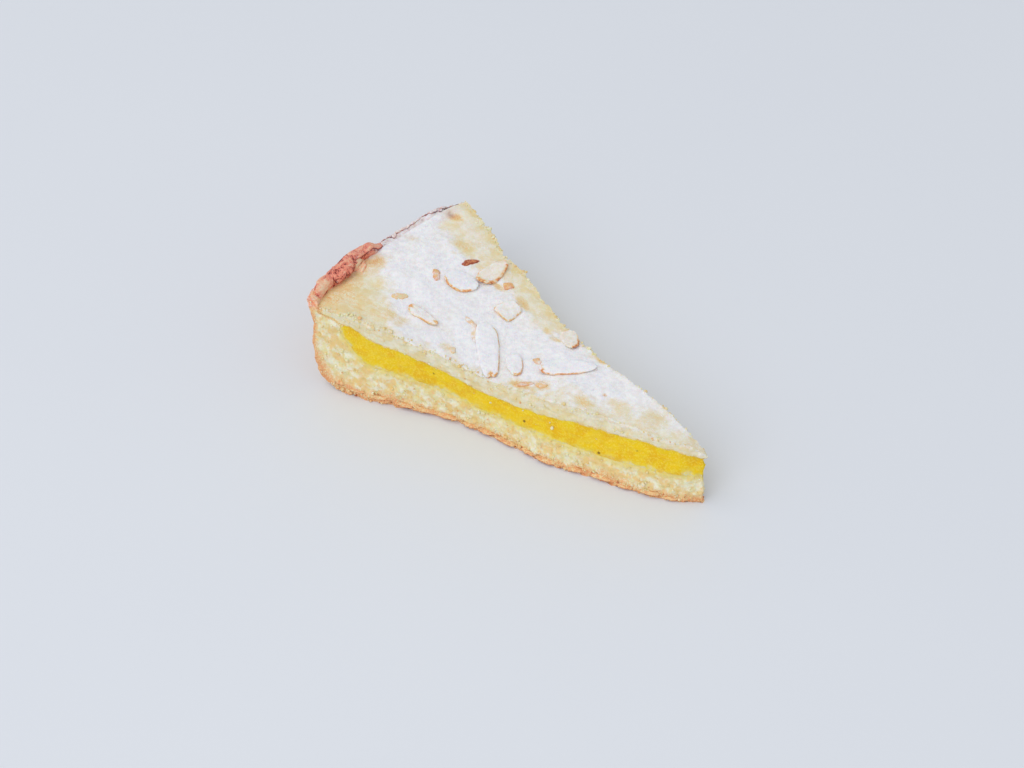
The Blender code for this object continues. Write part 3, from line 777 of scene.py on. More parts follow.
def sugar_material():
    """Clumps of powdered sugar."""
    material, tree, shader = new_material(
        "powdered_sugar", Specular_IOR_Level=0.15, Subsurface_Weight=0.2, Subsurface_Scale=0.0008)
    place = add_node(tree, "ShaderNodeTexCoord").outputs["Object"]
    tint = remap(tree, grain(tree, place, 1.6), 0.35, 0.65)
    set_socket(tree, shader.inputs["Base Color"], blend_tones(
        tree, tint, tone(244, 243, 248), tone(250, 249, 251)))
    set_socket(tree, shader.inputs["Roughness"], remap(tree, tint, 0.0, 1.0, 0.88, 0.98))
    return material


# The three layers

def cut_weight(across):
    """1 on the two cuts, and 0 inside."""
    return smooth_step(*CUT_BAND, np.abs(across))


def far_half(across):
    """1 on the far half of the rim, which is thin and sugared, and 0 on the near half."""
    return smooth_step(*FAR_HALF, across)


def near_corner(across):
    """1 at the near end of the rim, which is paler."""
    return 1 - smooth_step(*NEAR_CORNER, across)


def frost_weight(across):
    """How ashen the sugared far half of the rim is, up to its far corner."""
    return FROST * far_half(across) * (1 - smooth_step(*FAR_CORNER, across))


def shape_base(reach, across, height, inside):
    """Points of the base, wall and rim, as the solid has them."""
    crest, tuck, overhang, _ = rim_at(across)
    rise = smooth_step(RIM_START, RIM_TOP, height)
    reach = reach + lid_stretch(reach, across) * inside * (1 - STRETCH_LEFT * rise)
    reach = reach - tuck * (1 - inside) * smooth_step(TUCK_START, RIM_START, height)
    reach = reach - overhang * inside * rise
    above = np.maximum(height - RIM_START, 0.0)
    height = np.minimum(height, RIM_START) + above * (crest - RIM_START) / (RIM_TOP - RIM_START)
    points = bow_and_sink(reach, across, height * layer_sway(reach, across))
    on_floor = height <= 0
    standing = roughen(points.copy(), reach, across, BASE_ROUGHNESS)
    resting = points.copy()
    foot = sway(points, 5 * MM, 21) * np.abs(across) * smooth_step(FOOT_START, FOOT_FULL, reach)
    resting[:, 1] += 0.9 * MM * foot
    resting[:, 2] = 0.0
    points = np.where(on_floor[:, None], resting, standing)
    wall = smooth_step(WALL_FACE_START, WALL_FACE_FULL, reach) * (1 - inside)
    points[:, 0] += 0.6 * MM * wall * sway(points, 8 * MM, 22)
    return points, on_floor


def shape_layer(reach, across, height, depth, relief):
    """Points of the custard or the lid, as the solid has them."""
    top = smooth_step(-TOP_FADE, 0.0, height - lid_top(reach))
    reach = reach + lid_stretch(reach, across)
    points = bow_and_sink(reach, across, height * layer_sway(reach, across))
    rolling = ripples(points, (1, 9, 31), (0.5, 4, 32))
    points[:, 2] += relief * top * rolling
    return roughen(points, reach, across, depth), top


def tip_roughness(points, reach):
    """Crumbly unevenness of the very tip."""
    near_tip = 1 - smooth_step(1.0 * MM, 6.0 * MM, reach)
    return MM * near_tip * ripples(points, (0.45, 1.5, 14), (0.25, 0.7, 15))


def push_out(data, points, amount):
    """Move points along the mesh's own normals by the given amounts."""
    set_points(data, points)
    return points + points_of(data, "normal") * amount[:, None]


# The rim as a map: places across by distance inward from the middle of its crest, in mm, with
# its samples up the outer side, over the top, down the inner side and on along the lid

CREST_PLACES = 181
CREST_OUTER = -12.0
CREST_INNER = 16.0
CREST_STEP = 0.25
CREST_SAMPLES = (24, 9, 12, 30)
CREST_SMOOTHINGS = 6
PLACE_LENGTH = 33.8


def crest_map():
    """Points and outward leans of the rim and of the lid's edge, evenly spaced both ways."""
    places = np.linspace(-1, 1, CREST_PLACES)
    outer, over, inner, onward = CREST_SAMPLES
    top = WALL[-1][0]
    runs = np.concatenate((
        np.linspace(124, top, outer), np.full(over, top), np.linspace(top, 130.2, inner)))
    insides = np.concatenate((
        np.zeros(outer), np.linspace(0, 1, over + 2)[1:-1], np.ones(inner)))
    wall_reach, wall_height = base_section(runs * MM, insides)
    lid_reach = np.linspace(125.0, 108.0, onward) * MM
    inward = np.arange(CREST_OUTER, CREST_INNER + CREST_STEP / 2, CREST_STEP)
    spots = np.empty((CREST_PLACES, len(inward), 3))
    for index, place in enumerate(places):
        on_wall = np.full(len(runs), place)
        wall = shape_base(wall_reach, on_wall, wall_height, insides)[0]
        on_lid = np.full(len(lid_reach), place)
        crust = shape_layer(
            lid_reach, on_lid, lid_top(lid_reach), LID_ROUGHNESS, LID_WAVES)[0]
        line = np.concatenate((wall, crust))
        steps = np.linalg.norm(np.diff(line, axis=0), axis=1) / MM
        passed = np.concatenate(([0.0], np.cumsum(steps)))
        passed -= passed[outer + over // 2]
        for axis in range(3):
            spots[index, :, axis] = np.interp(inward, passed, line[:, axis])
    lean = np.cross(np.gradient(spots, axis=1), np.gradient(spots, axis=0))
    for _ in range(CREST_SMOOTHINGS):
        lean[1:-1] = (lean[:-2] + lean[1:-1] + lean[2:]) / 3
        lean[:, 1:-1] = (lean[:, :-2] + lean[:, 1:-1] + lean[:, 2:]) / 3
    return spots, lean / np.linalg.norm(lean, axis=2)[:, :, None]


def on_crest(crest, across, inward):
    """Point and lean of the rim's map at places across and distances inward in mm."""
    column = np.clip((across + 1) / 2 * (CREST_PLACES - 1), 0, CREST_PLACES - 1.001)
    row = np.clip((inward - CREST_OUTER) / CREST_STEP, 0, crest[0].shape[1] - 1.001)
    i, j = column.astype(int), row.astype(int)
    u, v = (column - i)[:, None], (row - j)[:, None]
    return [
        (grid[i, j] * (1 - u) + grid[i + 1, j] * u) * (1 - v)
        + (grid[i, j + 1] * (1 - u) + grid[i + 1, j + 1] * u) * v
        for grid in crest
    ]


def near_line(points, crest, line):
    """Distance in mm from every point to a line drawn on the rim's map."""
    places = np.array(line)
    steps = np.linspace(0, len(line) - 1, 24 * (len(line) - 1) + 1)
    across = np.interp(steps, np.arange(len(line)), places[:, 0])
    inward = np.interp(steps, np.arange(len(line)), places[:, 1])
    spots = on_crest(crest, across, inward)[0]
    nearest = np.full(len(points), 1.0)
    close = np.where(np.linalg.norm(points - spots.mean(axis=0), axis=1) < 30 * MM)[0]
    if len(close):
        gaps = np.linalg.norm(points[close][:, None] - spots[None], axis=2)
        nearest[close] = gaps.min(axis=1)
    return nearest / MM


def shade_creases(toast, points, crest, ragged, strength=1.0):
    """Paint shade into the creases of the rim, as darker toast."""
    for line, width, depth in CREASE_SHADE_LINES:
        beside = near_line(points, crest, line) / (width * (1 + 0.7 * ragged))
        # Painted shade: darker toast near each crease line
        toast = np.maximum(toast, strength * depth * np.exp(-beside * beside))
    return toast


def base_toast(points, at, thickness, outside, rim, ragged):
    """How browned the base is: crust from the outside in, pale crumb within, dark on the rim."""
    cut = cut_weight(at.across)
    slow = sway(points, 6 * MM, 43)
    reached = crust_depth(at.run) * (1 + 0.45 * slow + 0.5 * ragged)
    crust = 1 - smooth_step(0.05, 1.3, at.share * thickness / np.maximum(reached, 0.4 * MM))
    specks = smooth_step(0.25, 0.6, sway(points, 1.3 * MM, 44)) * 0.28 * cut
    toast = crust * (0.7 + 0.3 * ragged + 0.14 * slow) + specks * (1 - crust)
    skin = 0.55 + 0.2 * ragged + 0.22 * slow + 0.1 * sway(points, 11 * MM, 49)
    toast = toast * (1 - outside) + skin * outside
    far = far_half(at.across)
    near_browned = 0.76 - 0.24 * near_corner(at.across) + 0.5 * ragged
    browned = near_browned * (1 - far) + (0.5 + 0.5 * ragged) * far
    toast = toast * (1 - rim) + np.maximum(toast, browned) * rim
    buried = (1 - at.share) * thickness
    seam = cut * (at.across < 0) * (1 - smooth_step(0.2 * MM, 0.8 * MM, buried))
    seam *= smooth_step(117.5 * MM, 119.0 * MM, at.run)
    seam *= 1 - smooth_step(129 * MM, 131 * MM, at.run)
    return np.maximum(toast, 0.6 * seam)


def base_dust(points, at, rim):
    """Sugar on the base: thick on the rim's far half, a trace on its near half and outside."""
    far = far_half(at.across)
    corner = near_corner(at.across)
    outer_face = (1 - smooth_step(0.0, 0.5, at.share)) * smooth_step(24 * MM, 30 * MM, at.height)
    dust = rim * (0.06 + 0.5 * far + 0.08 * corner) + 0.3 * outer_face * (1 - far)
    dust += ripples(points, (0.25, 1.4, 45), (0.3, 0.7, 46)) * rim
    return np.clip(dust, -0.2, 1.0) - 0.2 * (1 - rim)


def base_relief(points, at, outside, rim):
    """Crumb and pores of the cuts, the ragged foot, and the skin of the wall and rim."""
    cut = cut_weight(at.across)
    crumb = ripples(points, (0.3, 1.2, 51), (0.16, 0.6, 52))
    holes = pores(points, 1.5 * MM, 53) * 0.26 + pores(points, 0.8 * MM, 54) * 0.12
    amount = MM * cut * (crumb * 0.85 - holes)
    foot = cut * (1 - smooth_step(1.0 * MM, 4.5 * MM, at.height))
    amount += MM * foot * ripples(points, (0.6, 2.6, 47), (0.4, 1.2, 48))
    amount += tip_roughness(points, at.reach)
    amount += MM * outside * ripples(points, (0.25, 1.6, 55), (0.15, 0.8, 56))
    amount += MM * rim * ripples(points, (0.35, 1.5, 57), (0.2, 0.8, 58))
    return amount


def make_base(crest):
    """Bottom, wall and pressed rim, in one piece."""
    runs = even_runs(TIP_REACH, CUSTARD_REACH, COLUMNS)
    runs += even_runs(CUSTARD_REACH, WALL[-1][0] * MM, WALL_COLUMNS)[1:]
    data, at = spun_layer("shortcrust_base", base_section, runs, BASE_ROWS, BASE_ACROSS)
    points, on_floor = shape_base(at.reach, at.across, at.height, at.share)
    outer_reach, outer_height = base_section(at.run, np.zeros_like(at.run))
    inner_reach, inner_height = base_section(at.run, np.ones_like(at.run))
    thickness = np.hypot(outer_reach - inner_reach, outer_height - inner_height)
    outside = (1 - smooth_step(0.0, 0.02, at.share)) * (1 - cut_weight(at.across))
    rim = smooth_step(*RIM_BROWNS, at.height)
    ragged = ripples(points, (0.5, 2.2, 41), (0.4, 0.9, 42))
    toast = base_toast(points, at, thickness, outside, rim, ragged)
    # The toast value also carries the painted shade of the rim's creases
    keep(data, "toast", np.clip(shade_creases(toast, points, crest, ragged), 0.0, 1.2))
    soak = 1 - smooth_step(0.0, 3.4 * MM, (1 - at.share) * thickness + 1.0 * MM * ragged)
    keep(data, "soak", 0.8 * soak * (1 - smooth_step(118 * MM, 122 * MM, at.run)))
    keep(data, "sugar", base_dust(points, at, rim))
    keep(data, "rim", rim * (1 - far_half(at.across) * 0.5) * (1 - 0.4 * near_corner(at.across)))
    keep(data, "frost", rim * frost_weight(at.across))
    points = push_out(data, points, base_relief(points, at, outside, rim))
    points[:, 2] = np.where(on_floor, 0.0, np.maximum(points[:, 2], FLOOR_GAP))
    set_points(data, points)
    return finished_piece(
        "shortcrust_base", data, shortcrust_material(), "base_pastry", "base_pastry")


def outline_of(corners, count=96):
    """Distances from a polygon's middle to its softened outline, all the way round, in mm."""
    corners = np.array(corners) * (PLACE_LENGTH, 1.0)
    middle = corners.mean(axis=0)
    starts = corners - middle
    edges = np.roll(starts, -1, axis=0) - starts
    turn = np.linspace(0, 2 * math.pi, count, endpoint=False)
    heading = np.stack((np.cos(turn), np.sin(turn)), axis=1)
    crossing = heading[:, None, 0] * edges[None, :, 1] - heading[:, None, 1] * edges[None, :, 0]
    crossing = np.where(np.abs(crossing) < 1e-9, 1e-9, crossing)
    reach_out = (starts[:, 0] * edges[:, 1] - starts[:, 1] * edges[:, 0])[None] / crossing
    along = (starts[None, :, 0] * heading[:, None, 1]
             - starts[None, :, 1] * heading[:, None, 0]) / crossing
    valid = (along >= -1e-6) & (along <= 1 + 1e-6) & (reach_out > 0)
    radius = np.where(valid, reach_out, np.inf).min(axis=1)
    for _ in range(3):
        radius = (np.roll(radius, 1) + radius + np.roll(radius, -1)) / 3
    return middle, radius


def ball_of(around, rings):
    """Points and faces of a ball of radius 1, to be pulled into a fold, a flake or a lump."""
    ball = bmesh.new()
    bmesh.ops.create_uvsphere(ball, u_segments=around, v_segments=rings, radius=1.0)
    points = np.array([tuple(vertex.co) for vertex in ball.verts])
    faces = [[corner.index for corner in face.verts] for face in ball.faces]
    ball.free()
    return in_fixed_order(points, faces)


def fold_part(crest, corners, height, free_turn, toast_level, dust, around, rings, seed):
    """One overlapping fold of browned crust, draped on the rim and raised along its free edge."""
    middle, radius = outline_of(corners)
    ball, faces = ball_of(around, rings)
    turn = np.arctan2(ball[:, 1], ball[:, 0])
    ring = np.clip(np.hypot(ball[:, 0], ball[:, 1]), 0.0, 1.0)
    out = np.interp(turn % (2 * math.pi), np.linspace(0, 2 * math.pi, len(radius) + 1),
                    np.append(radius, radius[0]))
    circle = np.stack((np.cos(turn), np.sin(turn), 0 * turn), axis=1)
    out = out * (1 + 0.1 * sway(circle, 0.5, seed) + 0.06 * sway(circle, 0.17, seed + 1))
    x = ring * out * np.cos(turn)
    y = ring * out * np.sin(turn)
    across = np.clip((middle[0] + x) / PLACE_LENGTH, -0.997, 0.997)
    spots, lean = on_crest(crest, across, middle[1] + y)
    freed = smooth_step(-0.8, 0.9, ring * np.cos(turn - math.radians(free_turn)))
    plateau = np.sign(ball[:, 2]) * np.sqrt(np.clip(1 - ring ** 4, 0.0, 1.0))
    wrinkle = ripples(spots * np.array((1.0, 0.3, 0.8)), (1, 1.1, seed + 2))
    wrinkle += ripples(spots, (0.5, 0.8, seed + 3))
    upper = np.maximum(plateau, 0.0)
    lift = height * (0.3 + 0.7 * freed) * (0.25 + 0.75 * upper) * (1 + 0.5 * wrinkle * upper)
    lift = np.where(plateau < -0.05, -0.5 + 0.3 * freed * ring ** 2, lift)
    points = spots + lean * (lift * MM)[:, None]
    # Painted shade on the steep step of the fold's free edge
    free_edge_shade = smooth_step(0.82, 0.98, ring) * freed * (plateau < 0.6)
    flecks = ripples(points, (1, 0.9, seed + 4), (1, 0.5, seed + 5))
    # Painted shade: darker toast in the wrinkles' hollows and on the free edge, painted light paler on
    # the wrinkles' ridges
    toasted = toast_level - 0.5 * wrinkle + ripples(points, (0.2, 0.6, seed + 6)) + 0.45 * free_edge_shade
    # Painted shade under the fold
    toasted = np.where(plateau < 0.0, toast_level + 0.4, toasted)
    values = {
        "toast": np.clip(toasted, 0.0, 1.2),
        "sugar": np.clip(dust + 0.3 * flecks, -0.2, 1.0) * (plateau > 0) - 0.06,
        "soak": np.zeros(len(points)),
        "rim": np.ones(len(points)),
        "frost": np.full(len(points), dust),
    }
    return points, faces, values


def make_rim_folds(crest, material):
    """Folds of the near half of the rim and crinkles of its far half."""
    parts = []
    for order, (corners, height, free_turn, toast_level, dust) in enumerate(RIM_FOLDS):
        parts.append(fold_part(
            crest, corners, height, free_turn, toast_level, dust, *FOLD_STEPS,
            FOLD_SEED + 6 * order))
    turns = np.linspace(0, 2 * math.pi, 8, endpoint=False)
    for order, (across, inward, length, width, turn, height, toast_level) in enumerate(CRINKLES):
        heading = math.radians(turn)
        along, beside = np.cos(turns) * length / 2, np.sin(turns) * width / 2
        corners = np.stack((
            across + (along * math.cos(heading) - beside * math.sin(heading)) / PLACE_LENGTH,
            inward + along * math.sin(heading) + beside * math.cos(heading)), axis=1)
        parts.append(fold_part(
            crest, corners.tolist(), height, CRINKLE_FREE_TURN, toast_level - CRINKLE_PALER,
            CRINKLE_DUST, *CRINKLE_STEPS, CRINKLE_SEED + 6 * order))
    data = joined_mesh("browned_rim_folds", parts)
    return finished_piece("browned_rim_folds", data, material, "base_pastry")


def custard_specks(points, at):
    """How much every point lies in one of the custard's dark specks, on the near cut."""
    speck = np.zeros(len(points))
    for run, share, size in CUSTARD_SPECKS:
        misses = np.abs(at.run - run * MM) / MM + 20 * np.abs(at.share - share)
        spot = np.argmin(misses + 40 * (at.across + 1))
        gap = np.linalg.norm(points - points[spot], axis=1) / MM
        speck = np.maximum(speck, 1 - smooth_step(0.4 * size, size, gap))
    return speck


def make_custard():
    """The filling; its value named rise runs from its pale lower edge into the full yellow."""
    runs = even_runs(TIP_REACH, CUSTARD_REACH + WALL_OVERLAP, COLUMNS)
    data, at = spun_layer(
        "custard_filling", custard_section, runs, CUSTARD_ROWS, CUSTARD_ACROSS)
    points, _ = shape_layer(at.reach, at.across, at.height, CUSTARD_ROUGHNESS, 0.0)
    thick = (custard_top(at.run) - base_top(at.run)) / MM
    ragged = ripples(points, (0.5, 3, 65), (0.3, 1.2, 66))
    from_end = (CUSTARD_REACH - at.run) / MM
    rise = smooth_step(-0.6, 3.0, at.share * thick + 1.0 * ragged)
    rise *= smooth_step(-0.5, 2.4, from_end + 1.2 * ragged)
    rise *= 1 - 0.35 * (1 - smooth_step(0.0, 0.7, (1 - at.share) * thick + 0.4 * ragged))
    keep(data, "rise", rise)
    keep(data, "speck", custard_specks(points, at))
    dragged = points * np.array((0.35, 1.0, 1.0))
    amount = ripples(dragged, (0.14, 1.2, 61)) + ripples(points, (0.08, 0.7, 62))
    pitted = smooth_step(0.5, 0.9, sway(points, 8 * MM, 64) + 0.6)
    amount -= 0.4 * pores(points, 2.6 * MM, 63) * pitted
    amount = MM * cut_weight(at.across) * amount + tip_roughness(points, at.reach)
    set_points(data, push_out(data, points, amount))
    return finished_piece("custard_filling", data, custard_material(), "custard", "custard")


def spot_field(points, spots):
    """How much every point lies in one of the listed spots, and the toasting there."""
    along = (points[:, 0] - TIP_X) / MM
    beside = (points[:, 1] - TIP_Y) / MM
    wobble = ripples(points, (0.45, 2.4, 71), (0.3, 1.0, 70))
    bare = np.zeros(len(points))
    toast = np.zeros(len(points))
    for x, y, half_length, half_width, level in spots:
        distance = np.hypot((along - x) / half_length, (beside - y) / half_width) + wobble
        inside = 1 - smooth_step(0.2, 1.6, distance)
        bare = np.maximum(bare, inside * min(1.0, 0.35 + 1.6 * level))
        toast = np.maximum(toast, inside * level)
    return bare, toast


def sugar_cover(points, reach, across):
    """Sugar on the lid: thick in the middle, thin towards the cuts and in the spots."""
    from_near = (reach * (1 + across) * HALF_ANGLE - near_sugar(reach)) / MM
    to_far = reach * (1 - across) * HALF_ANGLE
    from_far = (to_far - far_sugar(reach)) / MM
    patchy = ripples(points, (1, 7, 72), (0.7, 3, 73), (0.5, 1.3, 74))
    near_cover = smooth_step(-10.5, 6.5, from_near + 3.0 * patchy)
    far_cover = smooth_step(-5.0, 4.0, from_far + 1.8 * patchy)
    veil = 0.44 * smooth_step(0.4 * MM, 5.0 * MM, to_far)
    far_cover = np.maximum(far_cover, veil)
    bare, toast = spot_field(points, SPOTS)
    tip = 1 - smooth_step(4 * MM, 40 * MM, reach)
    cover = near_cover * far_cover * (1 - 0.22 * tip) * (0.86 + 0.16 * patchy)
    strip = (1 - smooth_step(-3.0, 3.0, from_far)) * 0.1
    return np.clip(cover - 0.6 * bare, 0.0, 1.0), np.maximum(toast, strip)


def lid_toast(points, at, top, facing_up, spots, ragged):
    """How browned the lid is: spots and streaks on top, and a line where it meets the filling."""
    cut = cut_weight(at.across)
    from_near = at.reach * (1 + at.across) * HALF_ANGLE / MM
    streak = smooth_step(0.2, 0.95, np.cos(2 * math.pi * from_near / 1.7 + 1.4 * ragged))
    streak *= smooth_step(99 * MM, 116 * MM, at.reach) * (1 - smooth_step(7.0, 13.0, from_near)) * top
    warmth = ripples(points, (0.12, 5, 75), (0.1, 2, 76), level=0.06)
    near_rim = smooth_step(116 * MM, 124 * MM, at.run) * (1 - smooth_step(-0.35, 0.0, at.across)) * top
    toast = np.maximum(spots * (0.2 + 0.8 * facing_up), warmth + 0.22 * near_rim * (1 + ragged))
    toast += 0.26 * streak * (0.6 + ragged)
    seam = smooth_step(123.6 * MM, 125.2 * MM, at.run) * (1 - smooth_step(-0.99, -0.8, at.across))
    toast = np.maximum(toast, 0.62 * seam * (1 + ragged))
    above = at.share * (lid_top(at.run) - custard_top(at.run)) / MM
    underline = cut * (1 - smooth_step(0.2, 0.75, above)) * smooth_step(-0.25, 0.15, ragged)
    toast = np.maximum(toast, 0.52 * underline)
    closing = cut * (at.across < 0) * (1 - smooth_step(0.2, 0.9, above))
    closing *= smooth_step(116.5 * MM, 118.5 * MM, at.run)
    return np.maximum(toast, 0.55 * closing)


def lid_relief(points, at, top, cover, brink):
    """Flaky cut, broken brink, drifts of sugar, dimples, and the mound by the ridge flake."""
    cut = cut_weight(at.across)
    layered = points * np.array((0.14, 1.0, 1.0))
    flaky = ripples(layered, (0.24, 0.8, 81)) + ripples(points, (0.16, 0.8, 82))
    drift = ripples(points, (0.12, 2.4, 83), (0.06, 1.1, 84))
    dimples = ripples(points, (0.1, 1.8, 85)) - 0.2 * pores(points, 2.4 * MM, 86)
    along = ((points[:, 0] - TIP_X) / MM + 53) / 8.5
    beside = ((points[:, 1] - TIP_Y) / MM - 3.6) / 3.6
    mound = np.exp(-along ** 2 - beside ** 2)
    broken = brink * ripples(points, (0.45, 1.6, 87), (0.25, 0.8, 88))
    amount = cut * flaky + broken + top * (1 - cut) * (
        cover * (0.2 + drift) + (1 - cover) * dimples + 0.35 * mound)
    return MM * amount + tip_roughness(points, at.reach)


def make_lid(crest):
    """The lid, and the ground that it gives to what lies on it."""
    runs = even_runs(TIP_REACH, CUSTARD_REACH, COLUMNS)
    runs += even_runs(CUSTARD_REACH, LID_REACH + LID_OVERLAP, LID_END_COLUMNS)[1:]
    data, at = spun_layer("lid_crust", lid_section, runs, LID_ROWS, LID_ACROSS)
    points, top = shape_layer(at.reach, at.across, at.height, LID_ROUGHNESS, LID_WAVES)
    set_points(data, points)
    ground = BVHTree.FromPolygons(
        points.tolist(), [tuple(face.vertices) for face in data.polygons])
    cut = cut_weight(at.across)
    ragged = ripples(points, (0.5, 2.0, 78), (0.3, 0.8, 79))
    slumped = smooth_step(10 * MM, 70 * MM, at.reach)
    sheer = 1 - smooth_step(0.35 + 0.45 * slumped, 1.0, at.share + 0.14 * ragged)
    facing_up = top * (1 - cut * sheer)
    cover, spots = sugar_cover(points, at.reach, at.across)
    cut_dust = cut * (0.5 - 0.3 * slumped) * smooth_step(0.35, 0.9, at.share + 0.3 * ragged)
    keep(data, "sugar", np.maximum(cover * facing_up - 0.3 * (1 - facing_up), cut_dust))
    toast = lid_toast(points, at, top, facing_up, spots, ragged)
    # Painted shade in the rim's creases, laid into the toast value
    toast = shade_creases(toast, points, crest, ragged, LID_CREASE_SHADE)
    keep(data, "toast", np.clip(toast, 0.0, 1.1))
    keep(data, "frost", frost_weight(at.across) * smooth_step(121 * MM, 124 * MM, at.run))
    above = at.share * (lid_top(at.run) - custard_top(at.run)) / MM
    keep(data, "soak", 0.4 * cut * (1 - smooth_step(0.1, 1.0, above + 0.5 * ragged)))
    brink = smooth_step(0.93, 0.99, np.abs(at.across))
    brink *= smooth_step(-0.8, -0.1, (at.height - lid_top(at.run)) / MM)
    keep(data, "brink", brink)
    set_points(data, push_out(data, points, lid_relief(points, at, top, cover, brink)))
    piece = finished_piece("lid_crust", data, lid_pastry_material(), "lid_pastry", "lid_pastry")
    return piece, ground


# Flaked almonds and chips

def flake_shape(length, width, thickness, curl, power, steps, seed):
    """A flake: a rounded outline with a soft rim, flat faces and a slight curl.

    Returns its points and faces, how far each point lies inside the rim in mm, whether it faces
    up, and the outward turn of its outline."""
    ball, faces = ball_of(*steps)
    turn = np.arctan2(ball[:, 1], ball[:, 0])
    ring = np.clip(np.hypot(ball[:, 0], ball[:, 1]), 0.0, 1.0)
    stretch = (np.abs(np.cos(turn)) ** power + np.abs(np.sin(turn)) ** power) ** (-1 / power)
    round_trip = np.stack((np.cos(turn), np.sin(turn), np.zeros_like(turn)), axis=1)
    stretch *= 1 + 0.08 * sway(round_trip, 0.8, seed) + 0.05 * sway(round_trip, 0.25, seed + 1)
    taper = 1 - 0.22 * np.cos(turn)
    x = ring * stretch * np.cos(turn) * length / 2
    y = ring * stretch * np.sin(turn) * width / 2 * taper
    plateau = np.sign(ball[:, 2]) * np.sqrt(np.clip(1 - ring ** 7, 0.0, 1.0))
    z = thickness / 2 * (1 + plateau) + curl * (2 * x / length) ** 2
    ripple = sway(np.stack((x * 0.25, y, z * 0), axis=1), 0.9 * MM, seed + 2)
    z += 0.05 * MM * ripple * (ring < 0.9)
    inset = (1 - ring) * stretch * min(length, width) / 2 / MM
    steep = np.abs(ball[:, :2]) ** (power - 1) * np.sign(ball[:, :2]) / np.array((length, width))
    outward = np.arctan2(steep[:, 1], steep[:, 0])
    return np.stack((x, y, z), axis=1), faces, inset, plateau, outward


def drop_on(ground, points, x, y, turn, lift):
    """Turn a flake, and drop every point of it onto the crust below, keeping its own height."""
    heading = math.radians(turn)
    moved = points.copy()
    moved[:, 0] = x + points[:, 0] * math.cos(heading) - points[:, 1] * math.sin(heading)
    moved[:, 1] = y + points[:, 0] * math.sin(heading) + points[:, 1] * math.cos(heading)
    for index, (spot_x, spot_y, own_height) in enumerate(moved.tolist()):
        hit, lean = ground.ray_cast(Vector((spot_x, spot_y, 60 * MM)), Vector((0, 0, -1)))[:2]
        if hit is None or abs(lean.z) < 0.5:
            hit = ground.find_nearest(Vector((spot_x, spot_y, 30 * MM)))[0]
        moved[index, 2] = hit.z + lift + own_height
    return moved


def arc_share(outward, turn, arcs):
    """How brown the outline is, by the way that it faces: 1 inside an arc, 0 well outside."""
    facing = np.degrees(outward) + turn
    share = np.zeros(len(outward))
    for start, end, strength in arcs:
        off = np.abs((facing - (start + end) / 2 + 180) % 360 - 180)
        share = np.maximum(share, strength * (1 - smooth_step(-14, 14, off - (end - start) / 2)))
    return share


def make_almonds(ground, material):
    """The eight large flakes, each browned along its own arcs and sugared on top."""
    pieces = []
    for order, (name, facts) in enumerate(ALMONDS.items()):
        x, y, length, width, curl, turn, power, sugared, toasted = facts
        points, faces, inset, plateau, outward = flake_shape(
            length * MM, width * MM, ALMOND_THICKNESS, curl * MM, power, FLAKE_STEPS,
            FLAKE_SEED + 4 * order)
        points = drop_on(ground, points, TIP_X + x * MM, TIP_Y + y * MM, turn, ALMOND_LIFT)
        brown = arc_share(outward, turn, BROWN_ARCS[name])
        patchy = ripples(points, (0.5, 1.6, 121), (0.4, 0.7, 122))
        band = RIM_BAND * (1 + WIDE_END * (brown > 0.9))
        edge = 1 - smooth_step(0.35 * band, 1.3 * band, inset + 0.2 * patchy)
        side = 1 - smooth_step(0.25, 0.85, plateau)
        rim = np.maximum(edge * 0.9, side)
        lit = np.clip(brown * (0.8 + 2.4 * patchy), 0.0, 1.0)
        cover = np.clip(sugared + 0.25 * patchy, 0.0, 1.0) * (1 - rim * lit)
        values = {
            "toast": np.clip(rim * lit * toasted + 0.12 * patchy + 0.1, 0.0, 1.1),
            "sugar": cover * smooth_step(-0.9, 0.2, plateau) - 0.3 * rim * lit,
        }
        data = joined_mesh("flaked_" + name, [(points, faces, values)])
        pieces.append(finished_piece("flaked_" + name, data, material, "almond", name))
    return pieces


def joined_mesh(name, parts):
    """Join (points, faces, values) parts into one mesh, keeping each named value at its points."""
    points = np.concatenate([part[0] for part in parts])
    faces = []
    start = 0
    for part in parts:
        faces += [tuple(start + corner for corner in face) for face in part[1]]
        start += len(part[0])
    data = bpy.data.meshes.new(name)
    data.from_pydata(points.tolist(), [], faces)
    for value_name in parts[0][2]:
        keep(data, value_name, np.concatenate([part[2][value_name] for part in parts]))
    return data


def plain_values(count, sugar, toast):
    """What the shortcrust reads on a bit of crust that is neither soaked nor part of the rim."""
    nothing = np.zeros(count)
    return {"toast": toast, "sugar": nothing + sugar, "soak": nothing, "rim": nothing,
            "frost": nothing}


def make_chips(ground, material):
    """The small chips that are baked into the lid, as one piece."""
    parts = []
    for order, (x, y, length, width, height, turn, toasted, dust) in enumerate(CHIPS):
        points, faces, inset, plateau, _ = flake_shape(
            length * MM, width * MM, height * MM * CHIP_THICKNESS, 0.0, CHIP_POWER, CHIP_STEPS,
            CHIP_SEED + 4 * order)
        flat = points * np.array((1.0, 1.0, 0.0))
        squeeze = 1 + 0.35 * sway(flat, 1.1 * MM, CHIP_SQUEEZE_SEED + order)
        points *= np.stack((squeeze, squeeze, np.ones_like(squeeze)), axis=1)
        points = drop_on(
            ground, points, TIP_X + x * MM, TIP_Y + y * MM, turn, -1.0 * height * MM)
        patchy = sway(points, 1.1 * MM, 131)
        values = {
            "toast": np.clip(toasted + 0.3 * patchy + 0.12 * (inset < 0.3), 0.0, 1.1),
            "sugar": smooth_step(-0.2, 0.9, plateau) * np.clip(dust + 0.5 * patchy, -0.2, 1.0),
        }
        parts.append((points, faces, values))
    data = joined_mesh("almond_chips", parts)
    return finished_piece("almond_chips", data, material, "almond")


